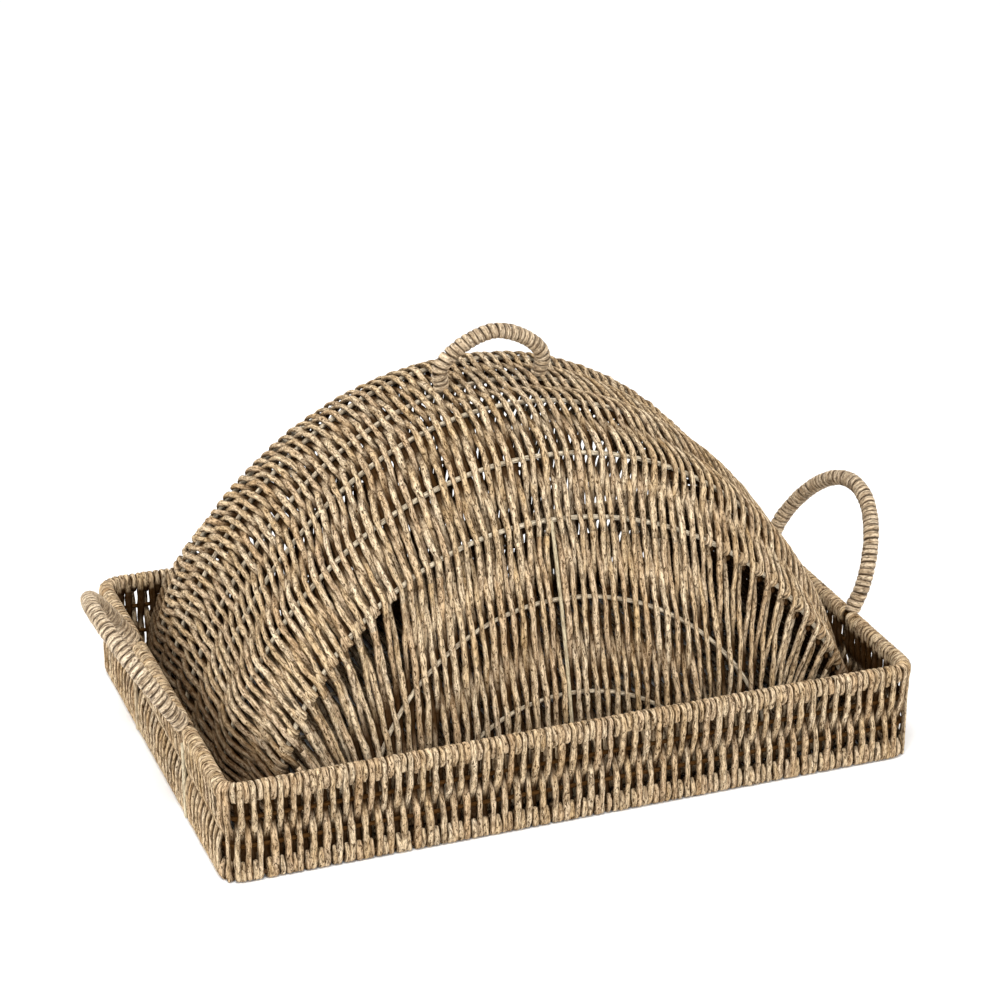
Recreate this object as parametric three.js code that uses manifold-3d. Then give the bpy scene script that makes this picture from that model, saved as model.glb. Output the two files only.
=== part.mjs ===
// A woven rattan tray with two wrapped side handles, and the loose domed cover that stands in it.
// Millimetres, +Z up. X runs along the tray's length, and -Y is its front.
// The origin is on the underside, at the middle of the tray.
import * as THREE from 'three';
import { mergeVertices } from 'three/addons/utils/BufferGeometryUtils.js';
import Module from 'manifold-3d';

const wasm = await Module();
wasm.setup();

// Room left between pieces that touch
const CLEARANCE = 0.3;

// Rods and woven layers
const WIRE_RADIUS = 1.5;
const STRAND_THICKNESS = 2.6;

// Tray
const TRAY_LENGTH = 500;
const TRAY_DEPTH = 341.6;
const TRAY_HEIGHT = 72.2;
const TRAY_CORNER_RADIUS = 12;
const RIM_ROD_RADIUS = 2.6;
const WALL_STAKE_LIFT = 0.8;
const WALL_STAKE_HEADROOM = 3.4;
const FLOOR_ROD_COUNT = 5;

// Side handles
const SIDE_HANDLE_HALF_SPAN = 66.4;
const SIDE_HANDLE_REACH = 79.5;
const SIDE_HANDLE_SHIFT = -7.4;
const LEFT_HANDLE_LEAN = THREE.MathUtils.degToRad(56.2);
const RIGHT_HANDLE_LEAN = THREE.MathUtils.degToRad(63.9);
const SIDE_HANDLE_LEG_PULL = 0.28;
const SIDE_HANDLE_CROWN_PULL = 0.646;
const SIDE_CORE_RADIUS = 3;
const SIDE_WINDING_RADIUS = 5.5;

// Cover
const COVER_SHIFT_X = 0.7;
const COVER_SHIFT_Y = 2.5;
const COVER_INSET_X = 12.5;
const COVER_INSET_Y = 12.8;
const CENTRE_ARCH_RISE = 240;
const CENTRE_ARCH_SHOULDER = 1.54;
const RIDGE_ARCH_INSET = 20;
const RIDGE_ARCH_RISE = 179;
const RIDGE_ARCH_SHOULDER = 1.85;
const RIDGE_SET_BACK = 46;
const ARCH_SPACING_SHARE = 0.415;
const CROWN_FALL = 5.5;
const SIDE_TAPER = 8.5;
const END_LEAN = 1.5;
const UPPER_END_ARCH_HALF_WIDTH = 145;
const UPPER_END_ARCH_RISE = 129;
const LOWER_END_ARCH_HALF_WIDTH = 94;
const LOWER_END_ARCH_RISE = 67;
const END_ARCH_SHOULDER = 1.9;
const CROWN_STRANDS = 186;
const STRAND_CROWDING = 0.14;
const WEAVE_DIP_SHARE = 0.65;

// Cover handle
const TOP_HANDLE_HALF_SPAN = 34.2;
const TOP_HANDLE_SHIFT = -2.4;
const TOP_HANDLE_REACH = 39.8;
const TOP_HANDLE_LEAN = THREE.MathUtils.degToRad(11.5);
const TOP_HANDLE_LEG_PULL = 0.4;
const TOP_HANDLE_CROWN_PULL = 0.404;
const TOP_CORE_RADIUS = 2.6;
const TOP_WINDING_RADIUS = 5;

// Windings: turns of one flat strip round a handle's core
const WINDING_TURNS = 24;
const STEPS_PER_TURN = 8;
const TURN_GAP = 0.8;
const STRIP_THICKNESS = 1.6;
const STRIP_CROWN = 0.45;
const STRIP_UNDERSIDE = 0.84;
const LEAST_WINDING_GAP = 0.4;

// Fineness of the faceted shapes
const RIM_STEPS = 8;
const RIM_SLOT_STEPS = 6;
const ARCH_STEPS = 20;
const END_ARCH_STEPS = 16;
const END_ROWS = 7;
const CORNER_STEPS = 4;
const WIRE_SIDES = 6;
const CORE_SIDES = 8;
const CORE_STEPS = 22;
const HOLE_SIDES = 12;

// Heights and offsets that follow from the sizes above
const LAYER_NEAR = WIRE_RADIUS + CLEARANCE;
const LAYER_FAR = LAYER_NEAR + STRAND_THICKNESS;
const LAYER_DIP = LAYER_FAR - STRAND_THICKNESS * WEAVE_DIP_SHARE;
const RIM_RADIUS = RIM_ROD_RADIUS + CLEARANCE + STRAND_THICKNESS;
const WALL_LINE_X = TRAY_LENGTH / 2 - RIM_RADIUS;
const WALL_LINE_Y = TRAY_DEPTH / 2 - RIM_RADIUS;
const RIM_HEIGHT = TRAY_HEIGHT - RIM_RADIUS;
const BASE_ROD_HEIGHT = LAYER_FAR;
const WALL_BAY = (RIM_HEIGHT - BASE_ROD_HEIGHT) / 3;
const LOWER_WIRE_HEIGHT = BASE_ROD_HEIGHT + WALL_BAY;
const UPPER_WIRE_HEIGHT = RIM_HEIGHT - WALL_BAY;
const WALL_STAKE_TOP = RIM_HEIGHT - RIM_RADIUS - WALL_STAKE_HEADROOM;
const FLOOR_ROD_SPACING = 2 * WALL_LINE_Y / (FLOOR_ROD_COUNT + 1);
const FLOOR_TOP = 2 * LAYER_FAR;
const COVER_SEAT = FLOOR_TOP + CLEARANCE;
const COVER_ROD_HEIGHT = COVER_SEAT + LAYER_FAR;
const CENTRE_ARCH_HALF_WIDTH = WALL_LINE_X - COVER_INSET_X;
const RIDGE_ARCH_HALF_WIDTH = CENTRE_ARCH_HALF_WIDTH - RIDGE_ARCH_INSET;
const RIDGE_BASE_DEPTH = WALL_LINE_Y - COVER_INSET_Y;
const RIDGE_TOP_DEPTH = RIDGE_BASE_DEPTH - RIDGE_SET_BACK;
const ARCH_SPACING = RIDGE_TOP_DEPTH * ARCH_SPACING_SHARE;
const ARCH_FOOT_RISE = WIRE_RADIUS + CLEARANCE;
const STAKE_OFFSET = 2 * WIRE_RADIUS + CLEARANCE;
const SIDE_LEG_LENGTH = RIM_RADIUS + 2 * SIDE_WINDING_RADIUS;
const TOP_LEG_LENGTH = LAYER_FAR + 2 * TOP_WINDING_RADIUS;

const up = new THREE.Vector3(0, 0, 1);
const along = new THREE.Vector3(1, 0, 0);
const through = new THREE.Vector3(0, 1, 0);

// Finishes
const finish = (color, roughness) => () => new THREE.MeshStandardMaterial({ color, roughness, metalness: 0 });
const weaveFinish = finish(0x9c8259, 0.75);
const wireFinish = finish(0xc4b193, 0.6);
const windingFinish = finish(0xc0a67c, 0.6);
const coreFinish = finish(0x8f7650, 0.7);

function piece(name, geometry, material) {
  const mesh = new THREE.Mesh(geometry, material());
  mesh.name = name;
  return mesh;
}

// A closed body from its corners and triangles, turned so that its faces point out.
function closedBody(corners, triangles) {
  const cross = new THREE.Vector3();
  let volume = 0;
  for (const [a, b, c] of triangles) {
    volume += corners[a].dot(cross.crossVectors(corners[b], corners[c]));
  }
  const facesOut = volume > 0 ? triangles : triangles.map(([a, b, c]) => [a, c, b]);
  const geometry = new THREE.BufferGeometry();
  const positions = corners.flatMap((corner) => corner.toArray());
  geometry.setAttribute('position', new THREE.Float32BufferAttribute(positions, 3));
  geometry.setIndex(facesOut.flat());
  return geometry;
}

// A flat outline carried through stations, each with a point and the outline's two axes there.
function sweep(outline, stations, closed) {
  const count = outline.length;
  const corners = [];
  for (const { at, a, b } of stations) {
    for (const [p, q] of outline) {
      corners.push(at.clone().addScaledVector(a, p).addScaledVector(b, q));
    }
  }
  const triangles = [];
  const lastSpan = closed ? stations.length : stations.length - 1;
  for (let s = 0; s < lastSpan; s += 1) {
    const here = s * count;
    const next = ((s + 1) % stations.length) * count;
    for (let i = 0; i < count; i += 1) {
      const j = (i + 1) % count;
      triangles.push([here + i, here + j, next + j]);
      triangles.push([here + i, next + j, next + i]);
    }
  }
  if (!closed) {
    const flat = outline.map(([p, q]) => new THREE.Vector2(p, q));
    const end = (stations.length - 1) * count;
    for (const [i, j, k] of THREE.ShapeUtils.triangulateShape(flat, [])) {
      triangles.push([k, j, i]);
      triangles.push([end + i, end + j, end + k]);
    }
  }
  return closedBody(corners, triangles);
}

function roundOutline(radius, sides) {
  const points = [];
  for (let i = 0; i < sides; i += 1) {
    const angle = (2 * Math.PI * (i + 0.5)) / sides;
    points.push([radius * Math.cos(angle), radius * Math.sin(angle)]);
  }
  return points;
}

// A rod bent along a curve, with flat ends.
function bentRod(curve, radius, sides, steps) {
  const section = new THREE.Shape(roundOutline(radius, sides).map(([x, y]) => new THREE.Vector2(x, y)));
  return new THREE.ExtrudeGeometry(section, { steps, extrudePath: curve, bevelEnabled: false });
}

// A curve given by a function of its own parameter.
class FormulaCurve extends THREE.Curve {
  constructor(pointAt) {
    super();
    this.pointAt = pointAt;
  }

  getPoint(t) {
    return this.pointAt(t);
  }
}

// One whose steps are even in that parameter, so that neighbours share their corners.
class SteppedCurve extends FormulaCurve {
  getUtoTmapping(u) {
    return u;
  }
}

// A thick patch between an outer and an inner net of points, which have as many rows as each other.
function thickPatch(outer, inner) {
  const rows = outer.length;
  const corners = [...outer.flat(), ...inner.flat()];
  const outerAt = (r, c) => r * outer[0].length + c;
  const innerAt = (r, c) => outer.flat().length + r * inner[0].length + c;
  const outerEnd = outer[0].length - 1;
  const innerEnd = inner[0].length - 1;
  const triangles = [];
  const quad = (a, b, c, d) => triangles.push([a, b, c], [a, c, d]);
  for (let r = 0; r + 1 < rows; r += 1) {
    for (let c = 0; c < outerEnd; c += 1) {
      quad(outerAt(r, c), outerAt(r, c + 1), outerAt(r + 1, c + 1), outerAt(r + 1, c));
    }
    for (let c = 0; c < innerEnd; c += 1) {
      quad(innerAt(r, c), innerAt(r + 1, c), innerAt(r + 1, c + 1), innerAt(r, c + 1));
    }
    quad(outerAt(r, 0), outerAt(r + 1, 0), innerAt(r + 1, 0), innerAt(r, 0));
    quad(outerAt(r + 1, outerEnd), outerAt(r, outerEnd), innerAt(r, innerEnd), innerAt(r + 1, innerEnd));
  }
  const outerRow = (r) => outer[0].map((_, c) => outerAt(r, c));
  const innerRow = (r) => inner[0].map((_, c) => innerAt(r, c));
  triangles.push(...band(corners, outerRow(rows - 1), innerRow(rows - 1)));
  triangles.push(...band(corners, outerRow(0).reverse(), innerRow(0).reverse()));
  return closedBody(corners, triangles);
}

// Triangles between two rows of corners that run the same way, each with its own spacing.
function band(corners, first, second) {
  const [firstShares, secondShares] = [first, second].map((row) => sharesAlong(row.map((i) => corners[i])));
  const triangles = [];
  let i = 0;
  let j = 0;
  while (i + 1 < first.length || j + 1 < second.length) {
    const secondEnded = j + 1 === second.length;
    if (secondEnded || (i + 1 < first.length && firstShares[i + 1] <= secondShares[j + 1])) {
      triangles.push([first[i], first[i + 1], second[j]]);
      i += 1;
    } else {
      triangles.push([first[i], second[j + 1], second[j]]);
      j += 1;
    }
  }
  return triangles;
}

// How far along a row each of its points lies, from 0 to 1.
function sharesAlong(points) {
  const reached = [0];
  for (let i = 1; i < points.length; i += 1) {
    reached.push(reached[i - 1] + points[i].distanceTo(points[i - 1]));
  }
  return reached.map((reach) => reach / reached[reached.length - 1]);
}

function solidOf(geometry) {
  const bare = geometry.clone();
  bare.deleteAttribute('normal');
  bare.deleteAttribute('uv');
  const merged = mergeVertices(bare, 1e-4);
  const mesh = new wasm.Mesh({
    numProp: 3,
    vertProperties: new Float32Array(merged.attributes.position.array),
    triVerts: new Uint32Array(merged.index.array),
  });
  return new wasm.Manifold(mesh);
}

// A geometry with holes cut through it, each hole a geometry too.
function drilled(geometry, holes) {
  let solid = solidOf(geometry);
  for (const hole of holes) {
    solid = solid.subtract(solidOf(hole));
  }
  const { vertProperties, triVerts } = solid.getMesh();
  const cut = new THREE.BufferGeometry();
  cut.setAttribute('position', new THREE.Float32BufferAttribute(vertProperties, 3));
  cut.setIndex([...triVerts]);
  return cut;
}

// A straight round bar from one point to another.
function bar(from, to, radius, sides) {
  const length = from.distanceTo(to);
  const geometry = new THREE.CylinderGeometry(radius, radius, length, sides);
  const direction = to.clone().sub(from).normalize();
  geometry.applyQuaternion(new THREE.Quaternion().setFromUnitVectors(through, direction));
  const middle = from.clone().add(to).multiplyScalar(0.5);
  return geometry.translate(middle.x, middle.y, middle.z);
}

// Tray walls and rings: stations run clockwise, seen from above, from the front right corner.
function cornerStation(corner, angle, height) {
  const signX = corner === 0 || corner === 3 ? 1 : -1;
  const signY = corner < 2 ? -1 : 1;
  const outward = new THREE.Vector3(Math.cos(angle), Math.sin(angle), 0);
  const at = new THREE.Vector3(
    signX * (WALL_LINE_X - TRAY_CORNER_RADIUS),
    signY * (WALL_LINE_Y - TRAY_CORNER_RADIUS),
    height,
  );
  at.addScaledVector(outward, TRAY_CORNER_RADIUS);
  return { at, a: outward, b: up };
}

const cornerAngle = (corner, share) => (-Math.PI / 2) * (corner + share);

function trayRing(radius, sides, height) {
  const stations = [];
  for (let corner = 0; corner < 4; corner += 1) {
    for (let step = 0; step <= CORNER_STEPS; step += 1) {
      stations.push(cornerStation(corner, cornerAngle(corner, step / CORNER_STEPS), height));
    }
  }
  return sweep(roundOutline(radius, sides), stations, true);
}

// Section of a wall: strands folded over the rim rod, with the wires in the slot between them.
function wallSection() {
  const rimStart = -Math.acos(LAYER_FAR / RIM_RADIUS);
  const rimSweep = Math.PI - 2 * rimStart;
  const points = [[LAYER_NEAR, 0], [LAYER_FAR, 0]];
  for (let i = 0; i <= RIM_STEPS; i += 1) {
    const angle = rimStart + (rimSweep * i) / RIM_STEPS;
    points.push([RIM_RADIUS * Math.cos(angle), RIM_HEIGHT + RIM_RADIUS * Math.sin(angle)]);
  }
  points.push([-LAYER_FAR, 0], [-LAYER_NEAR, 0]);
  const snug = RIM_ROD_RADIUS + CLEARANCE;
  const slotStart = Math.PI + Math.acos(LAYER_NEAR / snug);
  const slotSweep = 2 * slotStart - Math.PI;
  const slotRadius = snug / Math.cos(slotSweep / RIM_SLOT_STEPS / 2);
  points.push([-LAYER_NEAR, RIM_HEIGHT - slotRadius]);
  for (let i = 1; i < RIM_SLOT_STEPS; i += 1) {
    const angle = slotStart - (slotSweep * i) / RIM_SLOT_STEPS;
    points.push([slotRadius * Math.cos(angle), RIM_HEIGHT + slotRadius * Math.sin(angle)]);
  }
  points.push([LAYER_NEAR, RIM_HEIGHT - slotRadius]);
  return points;
}

// One wall, from the middle of a corner to the middle of the next one.
function trayWall(corner) {
  const stations = [];
  for (let half = 0; half < 2; half += 1) {
    for (let step = 0; step <= CORNER_STEPS / 2; step += 1) {
      const share = (half === 0 ? 0.5 : 0) + step / CORNER_STEPS;
      const station = cornerStation((corner + half) % 4, cornerAngle(corner + half, share), 0);
      const atEnd = half === 0 ? step === 0 : step === CORNER_STEPS / 2;
      if (atEnd) {
        const inward = new THREE.Vector3().crossVectors(station.a, station.b);
        station.at.addScaledVector(inward, (half === 0 ? 1 : -1) * CLEARANCE * 0.5);
      }
      stations.push(station);
    }
  }
  return sweep(wallSection(), stations, false);
}

// Stakes stand outside the wires, in grooves of the woven wall.
function stakeFoot(corner) {
  const station = cornerStation(corner, cornerAngle(corner, 0.5), WALL_STAKE_LIFT);
  return station.at.addScaledVector(station.a, STAKE_OFFSET);
}

function handleStakeFoot(side, end) {
  const x = side * (WALL_LINE_X + STAKE_OFFSET);
  return new THREE.Vector3(x, SIDE_HANDLE_SHIFT + end * SIDE_HANDLE_HALF_SPAN, WALL_STAKE_LIFT);
}

function stake(foot) {
  return bar(foot, foot.clone().setZ(WALL_STAKE_TOP), WIRE_RADIUS, WIRE_SIDES);
}

function stakeGroove(foot) {
  const from = foot.clone().setZ(-CLEARANCE);
  const to = foot.clone().setZ(WALL_STAKE_TOP + CLEARANCE);
  const grooveRadius = (WIRE_RADIUS + CLEARANCE) / Math.cos(Math.PI / HOLE_SIDES);
  return bar(from, to, grooveRadius, HOLE_SIDES);
}

// A handle loop: straight legs, then two curved halves that meet at the apex.
function loopPath({ feet, legs, legLength, apex, across, legPull, crownPull }) {
  const path = new THREE.CurvePath();
  const tops = feet.map((foot, i) => foot.clone().addScaledVector(legs[i], legLength));
  const half = (i, direction) => [
    tops[i],
    tops[i].clone().addScaledVector(legs[i], legPull),
    apex.clone().addScaledVector(across, direction * crownPull),
    apex,
  ];
  path.add(new THREE.LineCurve3(feet[0], tops[0]));
  path.add(new THREE.CubicBezierCurve3(...half(0, -1)));
  path.add(new THREE.CubicBezierCurve3(...half(1, 1).reverse()));
  path.add(new THREE.LineCurve3(tops[1], feet[1]));
  return path;
}

// The part of a path between two distances from its ends.
function trimmedPath(path, startTrim, endTrim) {
  const length = path.getLength();
  const from = startTrim / length;
  const to = 1 - endTrim / length;
  return new SteppedCurve((t) => path.getPoint(from + (to - from) * t));
}

// Cross-section of the winding strip: flat inside, crowned outside.
function stripOutline(width, outerRadius) {
  const innerRadius = outerRadius - STRIP_THICKNESS;
  const edgeRadius = outerRadius - STRIP_THICKNESS * STRIP_CROWN;
  const half = width / 2;
  return [
    [-STRIP_UNDERSIDE * half, innerRadius],
    [STRIP_UNDERSIDE * half, innerRadius],
    [half, edgeRadius],
    [0, outerRadius],
    [-half, edgeRadius],
  ];
}

// The direction that points out of a bend, in the bend's plane.
function outOfBend(path, planeNormal) {
  return (t) => new THREE.Vector3().crossVectors(path.getTangent(t), planeNormal).normalize();
}

// How far the inside of a bent path runs up to each of its even shares.
function insideReach(path, sideAt, radius, fine) {
  const reached = [0];
  let last = null;
  for (let i = 0; i <= fine; i += 1) {
    const inside = path.getPoint(i / fine).addScaledVector(sideAt(i / fine), -radius);
    if (last) {
      reached.push(reached[i - 1] + inside.distanceTo(last));
    }
    last = inside;
  }
  return reached;
}

// Shares of a bent path, even along the inside of its bends, where the turns lie closest.
function evenInside(path, sideAt, radius, steps) {
  const fine = 8 * steps;
  const reached = insideReach(path, sideAt, radius, fine);
  const shares = [];
  for (let s = 0, i = 1; s <= steps; s += 1) {
    const target = (reached[fine] * s) / steps;
    while (i < fine && reached[i] < target) {
      i += 1;
    }
    shares.push((i - (reached[i] - target) / (reached[i] - reached[i - 1])) / fine);
  }
  return shares;
}

// The strip is as wide as its turns leave room for on the inside of the bends.
function stripWidthFor(path, planeNormal, { windingStart, windingRadius }) {
  const room = trimmedPath(path, windingStart, windingStart);
  const steps = WINDING_TURNS * STEPS_PER_TURN;
  const reached = insideReach(room, outOfBend(room, planeNormal), windingRadius, steps);
  return (reached[steps] - WINDING_TURNS * TURN_GAP) / (WINDING_TURNS + 1);
}

// One unbroken strip wound round a path that lies in a plane.
function winding(name, path, planeNormal, outerRadius, stripWidth) {
  const outline = stripOutline(stripWidth, outerRadius);
  const sideAt = outOfBend(path, planeNormal);
  const shares = evenInside(path, sideAt, outerRadius, WINDING_TURNS * STEPS_PER_TURN);
  const stations = shares.map((t, s) => {
    const angle = (2 * Math.PI * s) / STEPS_PER_TURN;
    const radial = sideAt(t).multiplyScalar(Math.sin(angle)).addScaledVector(planeNormal, Math.cos(angle));
    return { at: path.getPoint(t), a: path.getTangent(t), b: radial };
  });
  const gap = leastGap(outline, stations);
  console.log(`${name}: least gap to itself ${gap.toFixed(2)} mm`);
  if (gap <= LEAST_WINDING_GAP) {
    throw new Error(`${name} is wound too tightly`);
  }
  return sweep(outline, stations, false);
}

// Least distance between points of the strip that lie over half a turn apart.
function leastGap(outline, stations) {
  const rings = stations.map(({ at, a, b }) =>
    outline.map(([p, q]) => at.clone().addScaledVector(a, p).addScaledVector(b, q)));
  let least = Infinity;
  for (let s = 0; s < rings.length; s += 1) {
    for (let r = s + STEPS_PER_TURN / 2 + 1; r < Math.min(rings.length, s + 3 * STEPS_PER_TURN); r += 1) {
      for (const p of rings[s]) {
        for (const q of rings[r]) {
          least = Math.min(least, p.distanceTo(q));
        }
      }
    }
  }
  return least;
}

// A side handle lies in a plane that leans outward from the rim.
function sideHandlePath(side) {
  const angle = side < 0 ? LEFT_HANDLE_LEAN : RIGHT_HANDLE_LEAN;
  const lean = new THREE.Vector3(side * Math.cos(angle), 0, Math.sin(angle));
  const rim = new THREE.Vector3(side * WALL_LINE_X, SIDE_HANDLE_SHIFT, RIM_HEIGHT);
  const feet = [-1, 1].map((end) => rim.clone().addScaledVector(through, end * SIDE_HANDLE_HALF_SPAN));
  return {
    lean,
    feet,
    path: loopPath({
      feet,
      legs: [lean, lean],
      legLength: SIDE_LEG_LENGTH,
      apex: rim.clone().addScaledVector(lean, SIDE_HANDLE_REACH),
      across: through,
      legPull: SIDE_HANDLE_LEG_PULL * (SIDE_HANDLE_REACH - SIDE_LEG_LENGTH),
      crownPull: SIDE_HANDLE_CROWN_PULL * SIDE_HANDLE_HALF_SPAN,
    }),
  };
}

function handlePieces(name, path, planeNormal, sizes) {
  const corePath = trimmedPath(path, sizes.coreStart, sizes.coreStart);
  const stripWidth = stripWidthFor(path, planeNormal, sizes);
  const windingStart = sizes.windingStart + stripWidth / 2;
  const windingPath = trimmedPath(path, windingStart, windingStart);
  const core = bentRod(corePath, sizes.coreRadius, CORE_SIDES, CORE_STEPS);
  const strip = winding(`${name}_winding`, windingPath, planeNormal, sizes.windingRadius, stripWidth);
  return [
    piece(`${name}_core`, core, coreFinish),
    piece(`${name}_winding`, strip, windingFinish),
  ];
}

function footHole(foot, direction, length, coreRadius) {
  const holeRadius = (coreRadius + CLEARANCE) / Math.cos(Math.PI / HOLE_SIDES);
  return bar(foot, foot.clone().addScaledVector(direction, length), holeRadius, HOLE_SIDES);
}

// Tray
function buildTray() {
  const tray = new THREE.Group();
  const handles = [-1, 1].map(sideHandlePath);
  const cornerFeet = [0, 1, 2, 3].map(stakeFoot);
  const handleFeet = [-1, 1].map((side) => [-1, 1].map((end) => handleStakeFoot(side, end)));

  tray.add(piece('tray_rim_rod', trayRing(RIM_ROD_RADIUS, CORE_SIDES, RIM_HEIGHT), wireFinish));
  tray.add(piece('tray_upper_wire', trayRing(WIRE_RADIUS, WIRE_SIDES, UPPER_WIRE_HEIGHT), wireFinish));
  tray.add(piece('tray_lower_wire', trayRing(WIRE_RADIUS, WIRE_SIDES, LOWER_WIRE_HEIGHT), wireFinish));
  tray.add(piece('tray_base_rod', trayRing(WIRE_RADIUS, WIRE_SIDES, BASE_ROD_HEIGHT), wireFinish));

  ['front', 'left', 'back', 'right'].forEach((name, corner) => {
    const holes = [stakeGroove(cornerFeet[corner]), stakeGroove(cornerFeet[(corner + 1) % 4])];
    const sideIndex = ['left', 'right'].indexOf(name);
    if (sideIndex >= 0) {
      const { feet, lean } = handles[sideIndex];
      holes.push(...handleFeet[sideIndex].map(stakeGroove));
      holes.push(...feet.map((foot) => footHole(foot, lean, 2 * RIM_RADIUS, SIDE_CORE_RADIUS)));
    }
    tray.add(piece(`tray_weave_${name}`, drilled(trayWall(corner), holes), weaveFinish));
  });

  ['front_right', 'front_left', 'back_left', 'back_right'].forEach((name, corner) => {
    tray.add(piece(`corner_stake_${name}`, stake(cornerFeet[corner]), wireFinish));
  });
  ['left', 'right'].forEach((sideName, s) => {
    ['front', 'back'].forEach((endName, e) => {
      tray.add(piece(`handle_stake_${sideName}_${endName}`, stake(handleFeet[s][e]), wireFinish));
    });
  });

  tray.add(piece('tray_floor_weave_lower', floorLayer(0), weaveFinish));
  tray.add(piece('tray_floor_weave_upper', floorLayer(BASE_ROD_HEIGHT + LAYER_NEAR), weaveFinish));
  const rodEnd = WALL_LINE_X - LAYER_FAR - CLEARANCE;
  for (let i = 0; i < FLOOR_ROD_COUNT; i += 1) {
    const y = (i - (FLOOR_ROD_COUNT - 1) / 2) * FLOOR_ROD_SPACING;
    const from = new THREE.Vector3(-rodEnd, y, BASE_ROD_HEIGHT);
    const rod = bar(from, from.clone().setX(rodEnd), WIRE_RADIUS, WIRE_SIDES);
    tray.add(piece(`tray_floor_rod_${i + 1}`, rod, wireFinish));
  }

  ['left', 'right'].forEach((name, s) => {
    const planeNormal = new THREE.Vector3().crossVectors(handles[s].lean, through);
    tray.add(...handlePieces(`handle_${name}`, handles[s].path, planeNormal, {
      coreStart: RIM_ROD_RADIUS + CLEARANCE,
      windingStart: RIM_RADIUS + CLEARANCE,
      coreRadius: SIDE_CORE_RADIUS,
      windingRadius: SIDE_WINDING_RADIUS,
    }));
  });
  return tray;
}

// One woven layer of the floor, lying inside the walls.
function floorLayer(bottom) {
  const inset = LAYER_FAR + CLEARANCE;
  const halfX = WALL_LINE_X - inset;
  const halfY = WALL_LINE_Y - inset;
  const radius = Math.max(TRAY_CORNER_RADIUS - inset, CLEARANCE);
  const outline = new THREE.Shape();
  for (let corner = 0; corner < 4; corner += 1) {
    for (let step = 0; step <= CORNER_STEPS; step += 1) {
      const angle = (Math.PI / 2) * (corner + step / CORNER_STEPS);
      const signX = corner === 0 || corner === 3 ? 1 : -1;
      const signY = corner < 2 ? 1 : -1;
      const x = signX * (halfX - radius) + radius * Math.cos(angle);
      const y = signY * (halfY - radius) + radius * Math.sin(angle);
      if (corner === 0 && step === 0) {
        outline.moveTo(x, y);
      } else {
        outline.lineTo(x, y);
      }
    }
  }
  const layer = new THREE.ExtrudeGeometry(outline, { depth: STRAND_THICKNESS, bevelEnabled: false });
  return layer.translate(0, 0, bottom);
}

// An arch of the cover: how high, wide and full it is follows from how far it is from the middle.
function barrelArch(side, topDepth, baseDepth) {
  const share = topDepth / RIDGE_TOP_DEPTH;
  const fall = 1 - share ** CROWN_FALL;
  const taper = 1 - share ** SIDE_TAPER;
  const rise = RIDGE_ARCH_RISE + (CENTRE_ARCH_RISE - RIDGE_ARCH_RISE) * fall;
  const halfWidth = RIDGE_ARCH_HALF_WIDTH + (CENTRE_ARCH_HALF_WIDTH - RIDGE_ARCH_HALF_WIDTH) * taper;
  const shoulder = CENTRE_ARCH_SHOULDER + (RIDGE_ARCH_SHOULDER - CENTRE_ARCH_SHOULDER) * share ** 2;
  const depthAt = (lift) => side * (baseDepth + (topDepth - baseDepth) * lift ** END_LEAN);
  return { share, rise, halfWidth, shoulder, depthAt };
}

// How far round from its top an arch runs before it reaches the base rod.
function footAngle({ rise, shoulder }) {
  return Math.acos((ARCH_FOOT_RISE / rise) ** (shoulder / 2));
}

function archPoint(arch, t) {
  const angle = (2 * t - 1) * footAngle(arch);
  const lift = Math.cos(angle) ** (2 / arch.shoulder);
  const x = arch.halfWidth * Math.sin(angle);
  return new THREE.Vector3(x, arch.depthAt(lift), COVER_ROD_HEIGHT + arch.rise * lift);
}

// An end panel leans back as it rises, by the same rule as its ridge arch.
function endDepth(height) {
  const lift = Math.max(height - COVER_ROD_HEIGHT, 0) / RIDGE_ARCH_RISE;
  return RIDGE_BASE_DEPTH + (RIDGE_TOP_DEPTH - RIDGE_BASE_DEPTH) * lift ** END_LEAN;
}

function endPoint(side, x, height) {
  return new THREE.Vector3(x, side * endDepth(height), height);
}

function endNormal(side, height) {
  const reach = 0.5;
  const slope = (endDepth(height + reach) - endDepth(Math.max(height - reach, 0))) / (2 * reach);
  return new THREE.Vector3(0, side, -slope).normalize();
}

const archRow = [
  { name: 'ridge_arch_front', side: -1, top: RIDGE_TOP_DEPTH, base: RIDGE_BASE_DEPTH },
  { name: 'outer_arch_front', side: -1, top: 2 * ARCH_SPACING, base: 2 * ARCH_SPACING },
  { name: 'inner_arch_front', side: -1, top: ARCH_SPACING, base: ARCH_SPACING },
  { name: 'centre_arch', side: 1, top: 0, base: 0 },
  { name: 'inner_arch_back', side: 1, top: ARCH_SPACING, base: ARCH_SPACING },
  { name: 'outer_arch_back', side: 1, top: 2 * ARCH_SPACING, base: 2 * ARCH_SPACING },
  { name: 'ridge_arch_back', side: 1, top: RIDGE_TOP_DEPTH, base: RIDGE_BASE_DEPTH },
].map(({ name, side, top, base }) => ({ name, ...barrelArch(side, top, base) }));

const lastArch = archRow.length - 1;
const middleArch = lastArch / 2;

function archTangent(index, t) {
  const reach = 0.01;
  const from = archPoint(archRow[index], Math.max(t - reach, 0));
  const to = archPoint(archRow[index], Math.min(t + reach, 1));
  return to.sub(from).normalize();
}

function depthTangent(index, t) {
  const from = archPoint(archRow[Math.max(index - 1, 0)], t);
  const to = archPoint(archRow[Math.min(index + 1, lastArch)], t);
  return to.sub(from).normalize();
}

function crownNormal(index, t) {
  return new THREE.Vector3().crossVectors(depthTangent(index, t), archTangent(index, t)).negate().normalize();
}

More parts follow.
